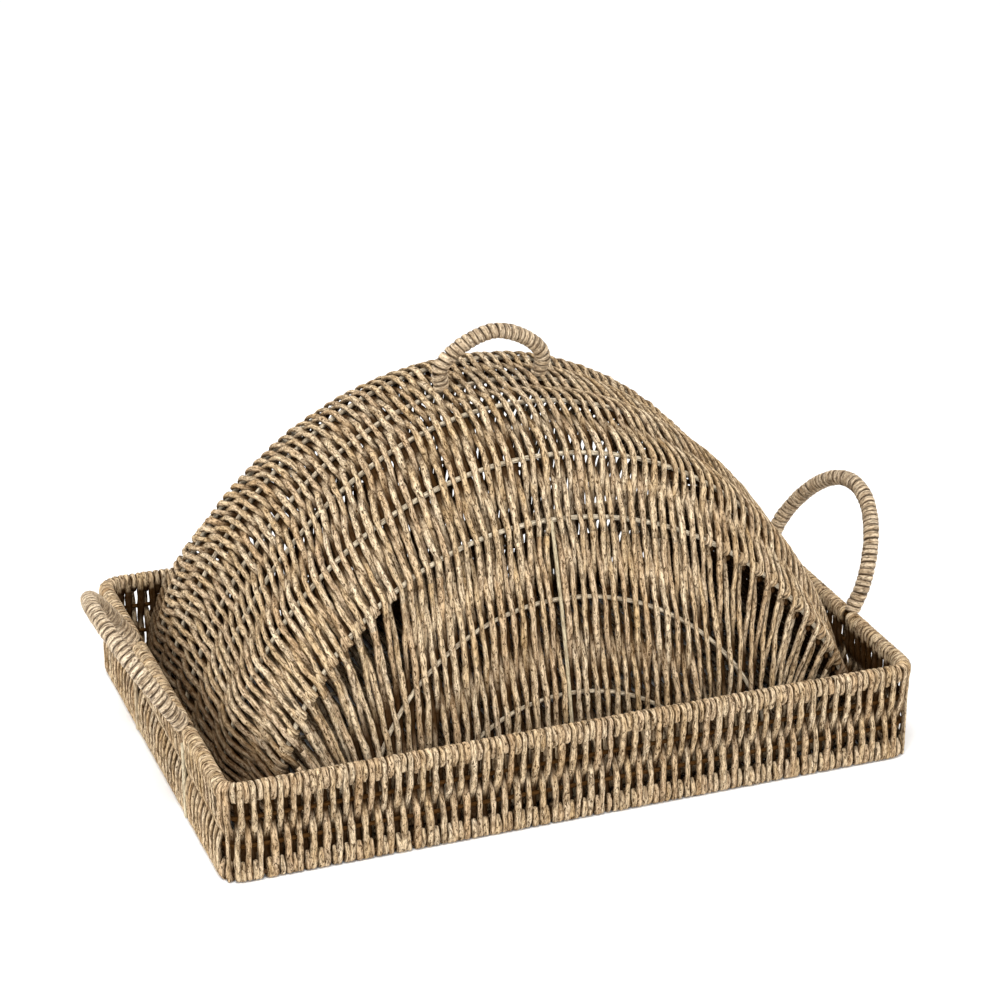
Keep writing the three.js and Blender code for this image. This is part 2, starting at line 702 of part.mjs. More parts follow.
// Where crown and end panel meet, both end on the line that halves the angle between them.
function ridgeMitre(index, t) {
  const point = archPoint(archRow[index], t);
  const side = index === 0 ? -1 : 1;
  const crown = crownNormal(index, t);
  const end = endNormal(side, point.z);
  const middle = crown.clone().add(end).normalize();
  const stretch = 1 / middle.dot(end);
  const tangent = archTangent(index, t);
  const intoCrown = new THREE.Vector3().crossVectors(tangent, crown).multiplyScalar(side);
  const intoEnd = new THREE.Vector3().crossVectors(tangent, end).multiplyScalar(-side);
  return { point, shift: middle.multiplyScalar(stretch), intoCrown, intoEnd };
}

const offsetBy = (point, direction, distance) => point.clone().addScaledVector(direction, distance);

function crownPoint(index, t, offset) {
  const point = archPoint(archRow[index], t);
  if (index > 0 && index < lastArch) {
    return offsetBy(point, crownNormal(index, t), offset);
  }
  const mitre = ridgeMitre(index, t);
  return offsetBy(offsetBy(point, mitre.shift, offset), mitre.intoCrown, CLEARANCE);
}

// A row of the crown runs down to the cover's seat at both feet.
function withFeet(row) {
  const feet = [row[0], row[row.length - 1]].map((foot) => foot.clone().setZ(COVER_SEAT));
  return [feet[0], ...row, feet[1]];
}

// Rows of points across the crown, one along each arch.
function crownNet(columns, offset) {
  return archRow.map((arch, index) => withFeet(columns.map(({ t }) => crownPoint(index, t, offset))));
}

// Plain weave: each strand of the crown rises over one arch and dips at the next.
function wovenCrownNet() {
  return archRow.map((arch, index) => {
    const strands = strandParameters(arch).map((t, strand) => {
      const rises = (strand + index) % 2 === 0;
      return crownPoint(index, t, rises ? LAYER_FAR : LAYER_DIP);
    });
    return withFeet([crownPoint(index, 0, LAYER_FAR), ...strands, crownPoint(index, 1, LAYER_FAR)]);
  });
}

// Where the strands cross an arch. On the ridges they crowd together towards the feet.
function strandParameters(arch) {
  const curve = new FormulaCurve((t) => archPoint(arch, t));
  const crowding = STRAND_CROWDING * arch.share ** 2;
  return Array.from({ length: CROWN_STRANDS }, (_, strand) => {
    const even = (2 * strand + 1) / CROWN_STRANDS - 1;
    const spread = even * (1 + crowding * (1 - even ** 2));
    return curve.getUtoTmapping((1 + spread) / 2);
  });
}

// Rows of an end panel: even steps down to the base rod, then one more to the seat.
function endRowHeight(top, row) {
  return row === END_ROWS ? COVER_SEAT : THREE.MathUtils.lerp(top, COVER_ROD_HEIGHT, row / (END_ROWS - 1));
}

function endNet(index, columns, offset) {
  const side = index === 0 ? -1 : 1;
  const rows = [];
  for (let r = 0; r <= END_ROWS; r += 1) {
    rows.push(columns.map(({ t, x }) => {
      const mitre = ridgeMitre(index, t);
      const atEdge = r === 0 || t === 0 || t === 1;
      const height = endRowHeight(mitre.point.z, r);
      const base = endPoint(side, mitre.point.x, height);
      const point = atEdge
        ? offsetBy(offsetBy(base, mitre.shift, offset), mitre.intoEnd, CLEARANCE)
        : offsetBy(base, endNormal(side, height), offset);
      if (r > 0) {
        point.z = height;
      }
      return x === undefined ? point : point.setX(x);
    }));
  }
  return rows;
}

// Columns of points across the cover. A half stops short of the stake in the middle of an end panel.
function allColumns() {
  return Array.from({ length: ARCH_STEPS + 1 }, (_, i) => ({ t: i / ARCH_STEPS }));
}

function halfColumns(side) {
  const middle = ARCH_STEPS / 2;
  const columns = allColumns();
  const half = side < 0 ? columns.slice(0, middle + 1) : columns.slice(middle);
  const nearStake = side < 0 ? half.length - 1 : 0;
  half[nearStake].x = side * (WIRE_RADIUS + CLEARANCE);
  return half;
}

function endArch(side, halfWidth, rise) {
  const reach = footAngle({ rise, shoulder: END_ARCH_SHOULDER });
  return new SteppedCurve((t) => {
    const angle = (2 * t - 1) * reach;
    const lift = Math.cos(angle) ** (2 / END_ARCH_SHOULDER);
    return netPoint(side, halfWidth * Math.sin(angle), COVER_ROD_HEIGHT + rise * lift);
  });
}

// A point of an end panel's flat facets, where the end arches lie.
function netPoint(side, x, height) {
  const ridge = archRow[side < 0 ? 0 : lastArch];
  const share = Math.min(Math.abs(x) / ridge.halfWidth, 1);
  const angle = Math.asin(share);
  const top = COVER_ROD_HEIGHT + ridge.rise * Math.cos(angle) ** (2 / ridge.shoulder);
  const step = (top - COVER_ROD_HEIGHT) / (END_ROWS - 1);
  const low = COVER_ROD_HEIGHT + Math.floor((height - COVER_ROD_HEIGHT) / step) * step;
  const depth = THREE.MathUtils.lerp(endDepth(low), endDepth(low + step), (height - low) / step);
  return new THREE.Vector3(x, side * depth, height);
}

// The base rod runs under the feet of all arches, with mitred corners.
function coverBaseRod() {
  const plan = [];
  for (const t of [1, 0]) {
    const feet = archRow.map((arch) => archPoint(arch, t).setZ(COVER_ROD_HEIGHT));
    plan.push(...(t === 1 ? feet.reverse() : feet));
  }
  const stations = plan.map((at, i) => {
    const before = plan[(i + plan.length - 1) % plan.length];
    const after = plan[(i + 1) % plan.length];
    const arriving = at.clone().sub(before).normalize();
    const leaving = after.clone().sub(at).normalize();
    const tangent = arriving.clone().add(leaving).normalize();
    const outward = new THREE.Vector3().crossVectors(up, tangent);
    return { at, a: outward.multiplyScalar(1 / tangent.dot(leaving)), b: up };
  });
  return sweep(roundOutline(WIRE_RADIUS, WIRE_SIDES), stations, true);
}

// A stake stands on the middle of each end panel, outside its wires, from the base to the ridge.
function endStake(side) {
  const ridge = archPoint(archRow[side < 0 ? 0 : lastArch], 0.5);
  const stations = [];
  for (let r = 0; r <= END_ROWS; r += 1) {
    const height = endRowHeight(ridge.z, r);
    const outward = endNormal(side, height);
    const at = offsetBy(endPoint(side, 0, height), outward, STAKE_OFFSET);
    stations.push({ at: r === 0 ? at : at.setZ(height), a: along, b: outward });
  }
  return sweep(roundOutline(WIRE_RADIUS, WIRE_SIDES), stations, false);
}

// The cover's handle stands on the centre arch and leans a little to the front.
function topHandlePath() {
  const lean = new THREE.Vector3(0, -Math.sin(TOP_HANDLE_LEAN), Math.cos(TOP_HANDLE_LEAN));
  const centre = archRow[middleArch];
  const feet = [];
  const legs = [];
  for (const end of [-1, 1]) {
    const x = TOP_HANDLE_SHIFT + end * TOP_HANDLE_HALF_SPAN;
    const t = archParameter(centre, x);
    feet.push(archPoint(centre, t));
    legs.push(crownNormal(middleArch, t).applyAxisAngle(along, TOP_HANDLE_LEAN));
  }
  const crownTop = COVER_ROD_HEIGHT + centre.rise;
  const apex = new THREE.Vector3(TOP_HANDLE_SHIFT, 0, crownTop).addScaledVector(lean, TOP_HANDLE_REACH);
  const path = loopPath({
    feet,
    legs,
    legLength: TOP_LEG_LENGTH,
    apex,
    across: along,
    legPull: TOP_HANDLE_LEG_PULL * TOP_HANDLE_HALF_SPAN,
    crownPull: TOP_HANDLE_CROWN_PULL * TOP_HANDLE_HALF_SPAN,
  });
  return { feet, legs, path, planeNormal: new THREE.Vector3().crossVectors(lean, along) };
}

function archParameter(arch, x) {
  return 0.5 + Math.asin(x / arch.halfWidth) / footAngle(arch) / 2;
}

// Cover
function buildCover() {
  const cover = new THREE.Group();
  cover.position.set(COVER_SHIFT_X, COVER_SHIFT_Y, 0);
  const handle = topHandlePath();

  cover.add(piece('cover_base_rod', coverBaseRod(), wireFinish));
  for (const arch of archRow) {
    const curve = new SteppedCurve((t) => archPoint(arch, t));
    cover.add(piece(`cover_${arch.name}`, bentRod(curve, WIRE_RADIUS, WIRE_SIDES, ARCH_STEPS), wireFinish));
  }
  ['front', 'back'].forEach((name, i) => {
    const side = 2 * i - 1;
    const upper = endArch(side, UPPER_END_ARCH_HALF_WIDTH, UPPER_END_ARCH_RISE);
    const lower = endArch(side, LOWER_END_ARCH_HALF_WIDTH, LOWER_END_ARCH_RISE);
    const wire = (curve) => bentRod(curve, WIRE_RADIUS, WIRE_SIDES, END_ARCH_STEPS);
    cover.add(piece(`cover_upper_end_arch_${name}`, wire(upper), wireFinish));
    cover.add(piece(`cover_lower_end_arch_${name}`, wire(lower), wireFinish));
    cover.add(piece(`cover_stake_${name}`, endStake(side), wireFinish));
  });

  const columns = allColumns();
  const crown = thickPatch(wovenCrownNet(), crownNet(columns, LAYER_NEAR));
  const holes = [0, 1].map((i) => footHole(handle.feet[i], handle.legs[i], 2 * LAYER_FAR, TOP_CORE_RADIUS));
  const lining = thickPatch(crownNet(columns, -LAYER_NEAR), crownNet(columns, -LAYER_FAR));
  cover.add(piece('cover_crown_weave_outer', drilled(crown, holes), weaveFinish));
  cover.add(piece('cover_crown_weave_inner', lining, weaveFinish));

  ['front', 'back'].forEach((endName, e) => {
    const index = e === 0 ? 0 : lastArch;
    const panel = (set, far, near) => thickPatch(endNet(index, set, far), endNet(index, set, near));
    ['left', 'right'].forEach((name, i) => {
      const half = panel(halfColumns(2 * i - 1), LAYER_FAR, LAYER_NEAR);
      cover.add(piece(`cover_${endName}_weave_${name}`, half, weaveFinish));
    });
    cover.add(piece(`cover_${endName}_weave_inner`, panel(columns, -LAYER_NEAR, -LAYER_FAR), weaveFinish));
  });

  cover.add(...handlePieces('cover_handle', handle.path, handle.planeNormal, {
    coreStart: WIRE_RADIUS + CLEARANCE,
    windingStart: LAYER_FAR + CLEARANCE + TOP_WINDING_RADIUS * Math.tan(TOP_HANDLE_LEAN),
    coreRadius: TOP_CORE_RADIUS,
    windingRadius: TOP_WINDING_RADIUS,
  }));
  return cover;
}

const basket = new THREE.Group();
basket.add(buildTray(), buildCover());

export default basket;
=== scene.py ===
import math

import bpy
import numpy as np
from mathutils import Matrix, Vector


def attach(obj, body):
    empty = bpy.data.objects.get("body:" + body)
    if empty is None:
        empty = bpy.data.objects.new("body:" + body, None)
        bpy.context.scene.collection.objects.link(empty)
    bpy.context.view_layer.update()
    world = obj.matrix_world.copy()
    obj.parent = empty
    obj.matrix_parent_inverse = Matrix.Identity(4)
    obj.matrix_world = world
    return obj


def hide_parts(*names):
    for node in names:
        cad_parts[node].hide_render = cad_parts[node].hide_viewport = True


# Lengths are in millimetres until a mesh is made. +Z is up, -Y is the front.
MM = 0.001
LENGTHWISE = np.array([1.0, 0, 0])
BACKWARD = np.array([0, 1.0, 0])
UP = np.array([0, 0, 1.0])

# Sizes that the frame's solids are built from
CLEARANCE = 0.3
WIRE_RADIUS = 1.5
STRAND_THICKNESS = 2.6
TRAY_LENGTH = 500
TRAY_DEPTH = 341.6
TRAY_HEIGHT = 72.2
TRAY_CORNER_RADIUS = 12
RIM_ROD_RADIUS = 2.6
WALL_STAKE_LIFT = 0.8
WALL_STAKE_HEADROOM = 3.4
FLOOR_ROD_COUNT = 5
SIDE_HANDLE_HALF_SPAN = 66.4
SIDE_HANDLE_REACH = 79.5
SIDE_HANDLE_SHIFT = -7.4
LEFT_HANDLE_LEAN = math.radians(56.2)
RIGHT_HANDLE_LEAN = math.radians(63.9)
SIDE_HANDLE_LEG_PULL = 0.28
SIDE_HANDLE_CROWN_PULL = 0.646
SIDE_WINDING_RADIUS = 5.5
COVER_SHIFT = np.array([0.7, 2.5, 0.0])
COVER_INSET_X = 12.5
COVER_INSET_Y = 12.8
CENTRE_ARCH_RISE = 240
CENTRE_ARCH_SHOULDER = 1.54
RIDGE_ARCH_INSET = 20
RIDGE_ARCH_RISE = 179
RIDGE_ARCH_SHOULDER = 1.85
RIDGE_SET_BACK = 46
ARCH_SPACING_SHARE = 0.415
CROWN_FALL = 5.5
SIDE_TAPER = 8.5
END_LEAN = 1.5
UPPER_END_ARCH = (145, 129)
LOWER_END_ARCH = (94, 67)
END_ARCH_SHOULDER = 1.9
STRAND_CROWDING = 0.14
TOP_HANDLE_HALF_SPAN = 34.2
TOP_HANDLE_SHIFT = -2.4
TOP_HANDLE_REACH = 39.8
TOP_HANDLE_LEAN = math.radians(11.5)
TOP_HANDLE_LEG_PULL = 0.4
TOP_HANDLE_CROWN_PULL = 0.404
TOP_WINDING_RADIUS = 5

LAYER_NEAR = WIRE_RADIUS + CLEARANCE
LAYER_FAR = LAYER_NEAR + STRAND_THICKNESS
RIM_RADIUS = RIM_ROD_RADIUS + CLEARANCE + STRAND_THICKNESS
WALL_LINE_X = TRAY_LENGTH / 2 - RIM_RADIUS
WALL_LINE_Y = TRAY_DEPTH / 2 - RIM_RADIUS
RIM_HEIGHT = TRAY_HEIGHT - RIM_RADIUS
BASE_ROD_HEIGHT = LAYER_FAR
WALL_BAY = (RIM_HEIGHT - BASE_ROD_HEIGHT) / 3
LOWER_WIRE_HEIGHT = BASE_ROD_HEIGHT + WALL_BAY
UPPER_WIRE_HEIGHT = RIM_HEIGHT - WALL_BAY
WALL_STAKE_TOP = RIM_HEIGHT - RIM_RADIUS - WALL_STAKE_HEADROOM
FLOOR_ROD_SPACING = 2 * WALL_LINE_Y / (FLOOR_ROD_COUNT + 1)
COVER_SEAT = 2 * LAYER_FAR + CLEARANCE
COVER_ROD_HEIGHT = COVER_SEAT + LAYER_FAR
ARCH_FOOT_RISE = WIRE_RADIUS + CLEARANCE
STAKE_OFFSET = 2 * WIRE_RADIUS + CLEARANCE
CENTRE_ARCH_HALF_WIDTH = WALL_LINE_X - COVER_INSET_X
RIDGE_ARCH_HALF_WIDTH = CENTRE_ARCH_HALF_WIDTH - RIDGE_ARCH_INSET
RIDGE_BASE_DEPTH = WALL_LINE_Y - COVER_INSET_Y
RIDGE_TOP_DEPTH = RIDGE_BASE_DEPTH - RIDGE_SET_BACK
ARCH_SPACING = RIDGE_TOP_DEPTH * ARCH_SPACING_SHARE

# Strands
STRAND_LIFT = 3.0
STRAND_SIDES = 8
STRAND_GIRTH = 2 * math.pi * 1.7
ROD_SIDES = 10
WAVE_LENGTHS = (61.0, 27.0, 13.0)
GRAIN_SPREAD = 900
ATLAS_END_MARGIN = 0.01
ATLAS_SIDE_MARGIN = 0.06

# Tray weave: front, left, back and right wall, then the floor
CORNER_STEPS = 24
RING_PIECES = 260
STAKE_INSET = 1
WALL_STAKE_PIECES = 11
FLOOR_ROD_PIECES = 40
WALL_COUNTS = (110, 75, 110, 75)
WALL_HALF_WIDTHS = (2.4, 2.8, 2.35, 2.9)
WALL_HALF_THICKNESS = 1.45
WALL_STEP = 3.2
WALL_LEAN_SCATTER = 0.6
WALL_TAIL_SCATTER = 1.3
WALL_SLIP_SCATTER = 0.12
WALL_WAVER = (0.26, 0.15)
RIM_WRAP_RADIUS = 4.1
WRAP_HALF_WIDTH = 2.25
WRAP_HALF_THICKNESS = 1.35
RIM_PASS_OFFSET = 3.5
RIM_ENTRY_DROP = 8
RIM_EXIT_DROP = 4.6
RIM_TAIL_OFFSET = 1.8
RIM_TAIL_DROP = 8.2
RIM_SHADE_DROP = 3
BASE_ENTRY_RISE = 6
BASE_EXIT_OFFSET = 2.9
BASE_EXIT_RISE = 5
BASE_TAIL_OFFSET = 0.9
BASE_TAIL_RISE = 9.5
STAKE_PUSH = 3.0
STAKE_PUSH_REACH = 7.0
CORNER_CLEAR = 6.0
CORNER_ROOM = 1.6
FLOOR_PITCH = 4.4
FLOOR_LIFT_SHARE = 0.98
FLOOR_END_GAP = 1
FLOOR_CORNER_GAP = 6
FLOOR_CORNER_REACH = 5
FLOOR_STEP = 7
FLOOR_SCATTER = 0.2
FLOOR_WAVER = (0.12, 0.05)

# Cover weave. Strands near the middle of a ridge all run on down its end panel, and of the others
# every second one does.
CROWN_STRANDS = 186
MIDDLE_STRANDS = 30
COVER_HALF_WIDTH = 2.35
COVER_HALF_THICKNESS = 1.45
COVER_STEP = 4.4
COVER_WAVER = (0.40, 0.16)
STRAND_SCATTER = 0.09
LIFT_SCATTER = 0.12
PLACE_SCATTER = 0.14
# Painted shade on the crown's strands near their feet, low beside the tray's rim.
FOOT_SHADE = 0.74
FOOT_SHADE_TOP = 108.0
FOOT_SHADE_BOTTOM = 62.0
PANEL_MIDDLE_PITCH = 3.6
PANEL_SIDE_PITCH = 3.2
PANEL_DRIFT = 1.8
PANEL_STAKE_PUSH = 2.1
PANEL_STAKE_REACH = 9
PANEL_TOP_CLEAR = 14
PANEL_FOOT_CLEAR = 10
PANEL_LEVELS = 200
PANEL_FOOT_RISE = 7
PANEL_TAIL_RISE = 9
PANEL_TAIL_OFFSET = 1.4
TAIL_HALF_WIDTH = 1.5
TAIL_HALF_THICKNESS = 1.1
BEND_REACH = 9.0
BEND_SHARE = 0.3
BEND_EASE = 0.4
RIDGE_ROOM = 0.2
EASE_DROP = 14.0
EASED_LIFT = 0.9
UNDER_RIDGE_LIFT = -1.0
FLANK_SPREAD = 0.65
PANEL_THINS = (-20.0, 110.0)
PANEL_HALF_WIDTHS = (2.25, 1.88)
HOOK_STEP = 3.4
HOOK_TURN = 540
HOOK_ROOM = 0.15
HOOK_HALF_WIDTH = 2.1
HOOK_END_HALF_WIDTH = 1.8
HOOK_HALF_THICKNESS = 1.35
CUT_REACH = 3.0
CUT_DROP = 1.5

# Cover rods
ARCH_RADIUS = 1.7
ARCH_SAMPLES = 600
ARCH_PIECES = 120
END_ARCH_PIECES = 90
END_ARCH_MIDDLE = 80
END_STAKE_RADIUS = 1.25
END_STAKE_PIECES = 39
COVER_CORNER_CUT = 4

# Windings
SIDE_TURNS = 50
TOP_TURNS = 27
STRIP_HALF_THICKNESS = 0.9
STRIP_SWELL = 0.18
STRIP_COVERAGE = 0.51
PITCH_RANGE = (0.72, 1.28)
SIDE_STRIP_RISE = 0.4
TOP_STRIP_RISE = 0.6
TOP_WINDING_SINK = 1
STEPS_PER_TURN = 14
LOOP_SAMPLES = 120
LEG_SAMPLES = 20

# Colours of dried strand: its bark specks, its stains, the brown of its painted shade and its ruddy tone
BARK = (0.040, 0.014, 0.002)
STAIN = (0.125, 0.058, 0.016)
SHADE_BROWN = (0.048, 0.018, 0.003)
RUDDY = (0.54, 0.34, 0.20)

# Camera: where it stands and how it looks, seen in the photograph's square frame
CAMERA_AZIMUTH = math.radians(-20.68)
CAMERA_ELEVATION = math.radians(23.55)
CAMERA_DISTANCE = 2044.70
CAMERA_ASIDE = 4.52
CAMERA_ABOVE = 150.98
CAMERA_FOCUS = 2833.11
FRAME_WIDTH = 1000
SENSOR_WIDTH = 36
CAMERA_CLIP = 50

# Studio. A light has its place and size in metres, and its power in watts.
FLOOR_REACH = 6.0
FLOOR_WHITE = 0.93
FLOOR_ROUGHNESS = 0.9
WORLD_STRENGTH = 0.95
LIGHT_TARGET = (0, 0, 0.1)
LIGHTS = {
    "key": ((-0.6, -0.95, 2.5), 1.1, 52),
    "fill": ((1.6, -1.9, 1.1), 1.6, 13),
    "low": ((-2.2, 0.1, 0.4), 1.2, 16),
}

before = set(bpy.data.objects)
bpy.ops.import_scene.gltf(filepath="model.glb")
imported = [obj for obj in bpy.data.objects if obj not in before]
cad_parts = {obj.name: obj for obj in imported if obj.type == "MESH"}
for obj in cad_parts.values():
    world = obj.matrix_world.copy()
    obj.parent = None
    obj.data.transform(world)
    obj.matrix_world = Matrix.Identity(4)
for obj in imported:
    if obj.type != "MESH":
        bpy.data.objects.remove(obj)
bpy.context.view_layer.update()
rng = np.random.default_rng(11)


def unit(v):
    return v / np.maximum(np.linalg.norm(v, axis=-1, keepdims=True), 1e-9)


def reaches_along(points):
    """How far along a line of points each of them lies."""
    return np.concatenate([[0], np.cumsum(np.linalg.norm(np.diff(points, axis=0), axis=1))])


def between(reach, reaches, points):
    """What lies at a reach along a line of points."""
    return np.stack([np.interp(reach, reaches, points[:, i]) for i in range(3)], -1)


def inner_shade_value(face, most=1.0):
    """How much painted shade a strand gets inside the weave, with face 1 for outside and -1 for inside."""
    return most * (0.5 - 0.5 * face)


# Curves. A row holds x, y, z, the direction of the strand's thickness, its half width, its half
# thickness, and its painted shade for lying inside the weave, from 0 outside to 1 inside.
def row(at, outward, half_width=COVER_HALF_WIDTH, half_thickness=COVER_HALF_THICKNESS, inside=0.0):
    return np.concatenate([at, outward, [half_width, half_thickness, inside]])


def flow(keys, step):
    """A smooth curve through rows, with about step millimetres between its samples."""
    keys = np.asarray(keys, float)
    span = np.linalg.norm(np.diff(keys[:, :3], axis=0), axis=1)[:, None]
    slope = np.diff(keys, axis=0) / span
    tangent = np.vstack([slope[:1], slope[-1:]])
    if len(keys) > 2:
        middle = (span[1:] * slope[:-1] + span[:-1] * slope[1:]) / (span[:-1] + span[1:])
        tangent = np.vstack([slope[:1], middle, slope[-1:]])
    rows = []
    starts = []
    for i in range(len(span)):
        steps = max(2, round(span[i, 0] / step))
        t = np.arange(steps)[:, None] / steps
        starts.append(sum(len(r) for r in rows))
        rows.append(
            (2 * t**3 - 3 * t**2 + 1) * keys[i]
            + (t**3 - 2 * t**2 + t) * span[i] * tangent[i]
            + (3 * t**2 - 2 * t**3) * keys[i + 1]
            + (t**3 - t**2) * span[i] * tangent[i + 1]
        )
    rows.append(keys[-1:])
    starts.append(sum(len(r) for r in rows) - 1)
    return np.vstack(rows), starts


def wavering(rows, sideways, swelling):
    """Gives a strand the small bends and thick places of a natural one."""
    at = rows[:, :3]
    s = reaches_along(at)
    tangent = unit(np.gradient(at, axis=0))
    across = np.cross(tangent, unit(rows[:, 3:6]))
    bend = np.zeros(len(s))
    swell = np.ones(len(s)) * rng.uniform(1 - swelling, 1 + swelling)
    for length in WAVE_LENGTHS:
        phase = rng.uniform(0, 2 * math.pi, 2)
        bend += sideways * (length / WAVE_LENGTHS[0]) ** 0.7 * np.sin(2 * math.pi * s / length + phase[0])
        swell += 0.5 * swelling * np.sin(2 * math.pi * s / (0.83 * length) + phase[1])
    out = rows.copy()
    out[:, :3] += across * bend[:, None]
    out[:, 6] *= swell
    out[:, 7] *= 0.5 + 0.5 * swell
    return out


def rounded_ends(rows, first=True, last=True):
    """Adds small closing rows, so that a strand ends in a blunt rounded tip."""
    parts = [rows]
    if first:
        back = unit(rows[0, :3] - rows[1, :3])
        tips = np.repeat(rows[:1], 2, axis=0)
        tips[:, :3] += back * (rows[0, 7] * np.array([[0.85], [0.5]]))
        tips[:, 6:8] *= np.array([[0.35], [0.78]])
        parts.insert(0, tips)
    if last:
        ahead = unit(rows[-1, :3] - rows[-2, :3])
        tips = np.repeat(rows[-1:], 2, axis=0)
        tips[:, :3] += ahead * (rows[-1, 7] * np.array([[0.5], [0.85]]))
        tips[:, 6:8] *= np.array([[0.78], [0.35]])
        parts.append(tips)
    return np.vstack(parts)


# Meshes
def tube(rows, sides):
    """Rings of points round a strand, and how far along and round it each ring lies."""
    at = rows[:, :3]
    tangent = unit(np.gradient(at, axis=0))
    outward = rows[:, 3:6]
    outward = unit(outward - tangent * np.sum(outward * tangent, axis=1, keepdims=True))
    across = np.cross(tangent, outward)
    angle = 2 * math.pi * np.arange(sides) / sides
    flat = rows[:, 6:7, None] * np.cos(angle)[None, :, None]
    thick = rows[:, 7:8, None] * np.sin(angle)[None, :, None]
    rings = at[:, None] + across[:, None] * flat + outward[:, None] * thick
    return rings, reaches_along(at)


def tubes_mesh(name, strands, sides):
    """Many strands in one mesh, with grain and bake coordinates, a random shade and painted shade values."""
    corners, faces, starts = [], [], []
    grain, atlas = [], []
    shades, inner_shade_values, flanks = [], [], []
    base = 0
    longest = max(np.linalg.norm(np.diff(s[:, :3], axis=0), axis=1).sum() for s in strands)
    columns = max(1, round(math.sqrt(len(strands) * STRAND_GIRTH / longest)))
    lines = math.ceil(len(strands) / columns)
    loop_total = 0
    for index, rows in enumerate(strands):
        rings, along = tube(rows, sides)
        count = len(rings)
        corners.append(rings.reshape(-1, 3))
        shades.append(np.full(count * sides, rng.uniform()))
        # The inside value paints shade deep in the weave; the flank value, 1 on the strand's sides, paints
        # shade there.
        inner_shade_values.append(np.repeat(rows[:, 8], sides))
        # The flank value is 1 on the strand's sides, where shade is painted.
        flanks.append(np.tile(np.abs(np.cos(2 * math.pi * np.arange(sides) / sides)), count))
        r, s = np.meshgrid(np.arange(count - 1), np.arange(sides), indexing="ij")
        r, s = r.ravel(), s.ravel()
        quad_rows = np.stack([r, r, r + 1, r + 1], 1)
        quad_sides = np.stack([s, s + 1, s + 1, s], 1)
        faces.append((base + quad_rows * sides + quad_sides % sides).ravel())
        starts.append(loop_total + 4 * np.arange(len(r)))
        loop_total += 4 * len(r)
        rounding = np.arange(sides)
        for end, order in ((0, rounding[::-1]), (count - 1, rounding)):
            faces.append(base + end * sides + order)
            starts.append([loop_total])
            loop_total += sides
        quad_rows = np.concatenate([quad_rows.ravel(), np.zeros(sides, int), np.full(sides, count - 1)])
        quad_sides = np.concatenate([quad_sides.ravel(), rounding[::-1], rounding])
        offset = rng.uniform(0, GRAIN_SPREAD, 2)
        around = quad_sides * STRAND_GIRTH / sides
        grain.append(np.stack([along[quad_rows] + offset[0], around + offset[1]], 1))
        column, line = index % columns, index // columns
        u = ATLAS_END_MARGIN + (1 - 2 * ATLAS_END_MARGIN) * along[quad_rows] / longest
        v = ATLAS_SIDE_MARGIN + (1 - 2 * ATLAS_SIDE_MARGIN) * quad_sides / sides
        atlas.append(np.stack([(column + u) / columns, (line + v) / lines], 1))
        base += count * sides
    layers = {"grain": np.vstack(grain) * MM, "OFBake": np.vstack(atlas)}
    values = {"shade": shades, "inside": inner_shade_values, "flank": flanks}
    faces = np.concatenate(faces)
    starts = np.concatenate(starts)
    return filled_mesh(name, np.vstack(corners) * MM, faces, starts, layers, values)


def filled_mesh(name, corners, faces, starts, layers, values):
    """A mesh from flat arrays, with its texture coordinates and its values per point."""
    mesh = bpy.data.meshes.new(name)
    mesh.vertices.add(len(corners))
    mesh.vertices.foreach_set("co", corners.astype(np.float32).ravel())
    mesh.loops.add(len(faces))
    mesh.loops.foreach_set("vertex_index", faces.astype(np.int32))
    mesh.polygons.add(len(starts))
    mesh.polygons.foreach_set("loop_start", starts.astype(np.int32))
    mesh.polygons.foreach_set("use_smooth", np.ones(len(starts), bool))
    mesh.update(calc_edges=True)
    for layer, coordinates in layers.items():
        mesh.uv_layers.new(name=layer).data.foreach_set("uv", coordinates.astype(np.float32).ravel())
    for attribute, parts in values.items():
        made = mesh.attributes.new(attribute, "FLOAT", "POINT")
        made.data.foreach_set("value", np.concatenate(parts).astype(np.float32))
    mesh.validate()
    return mesh


def piece(name, strands, material, body, nodes, sides=STRAND_SIDES, shift=None):
    """A piece of the basket that stands for some of the frame's solids."""
    if shift is not None:
        strands = [np.hstack([rows[:, :3] + shift, rows[:, 3:]]) for rows in strands]
    made = bpy.data.objects.new(name, tubes_mesh(name, strands, sides))
    bpy.context.scene.collection.objects.link(made)
    made.data.materials.append(material)
    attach(made, body)
    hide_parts(*nodes)


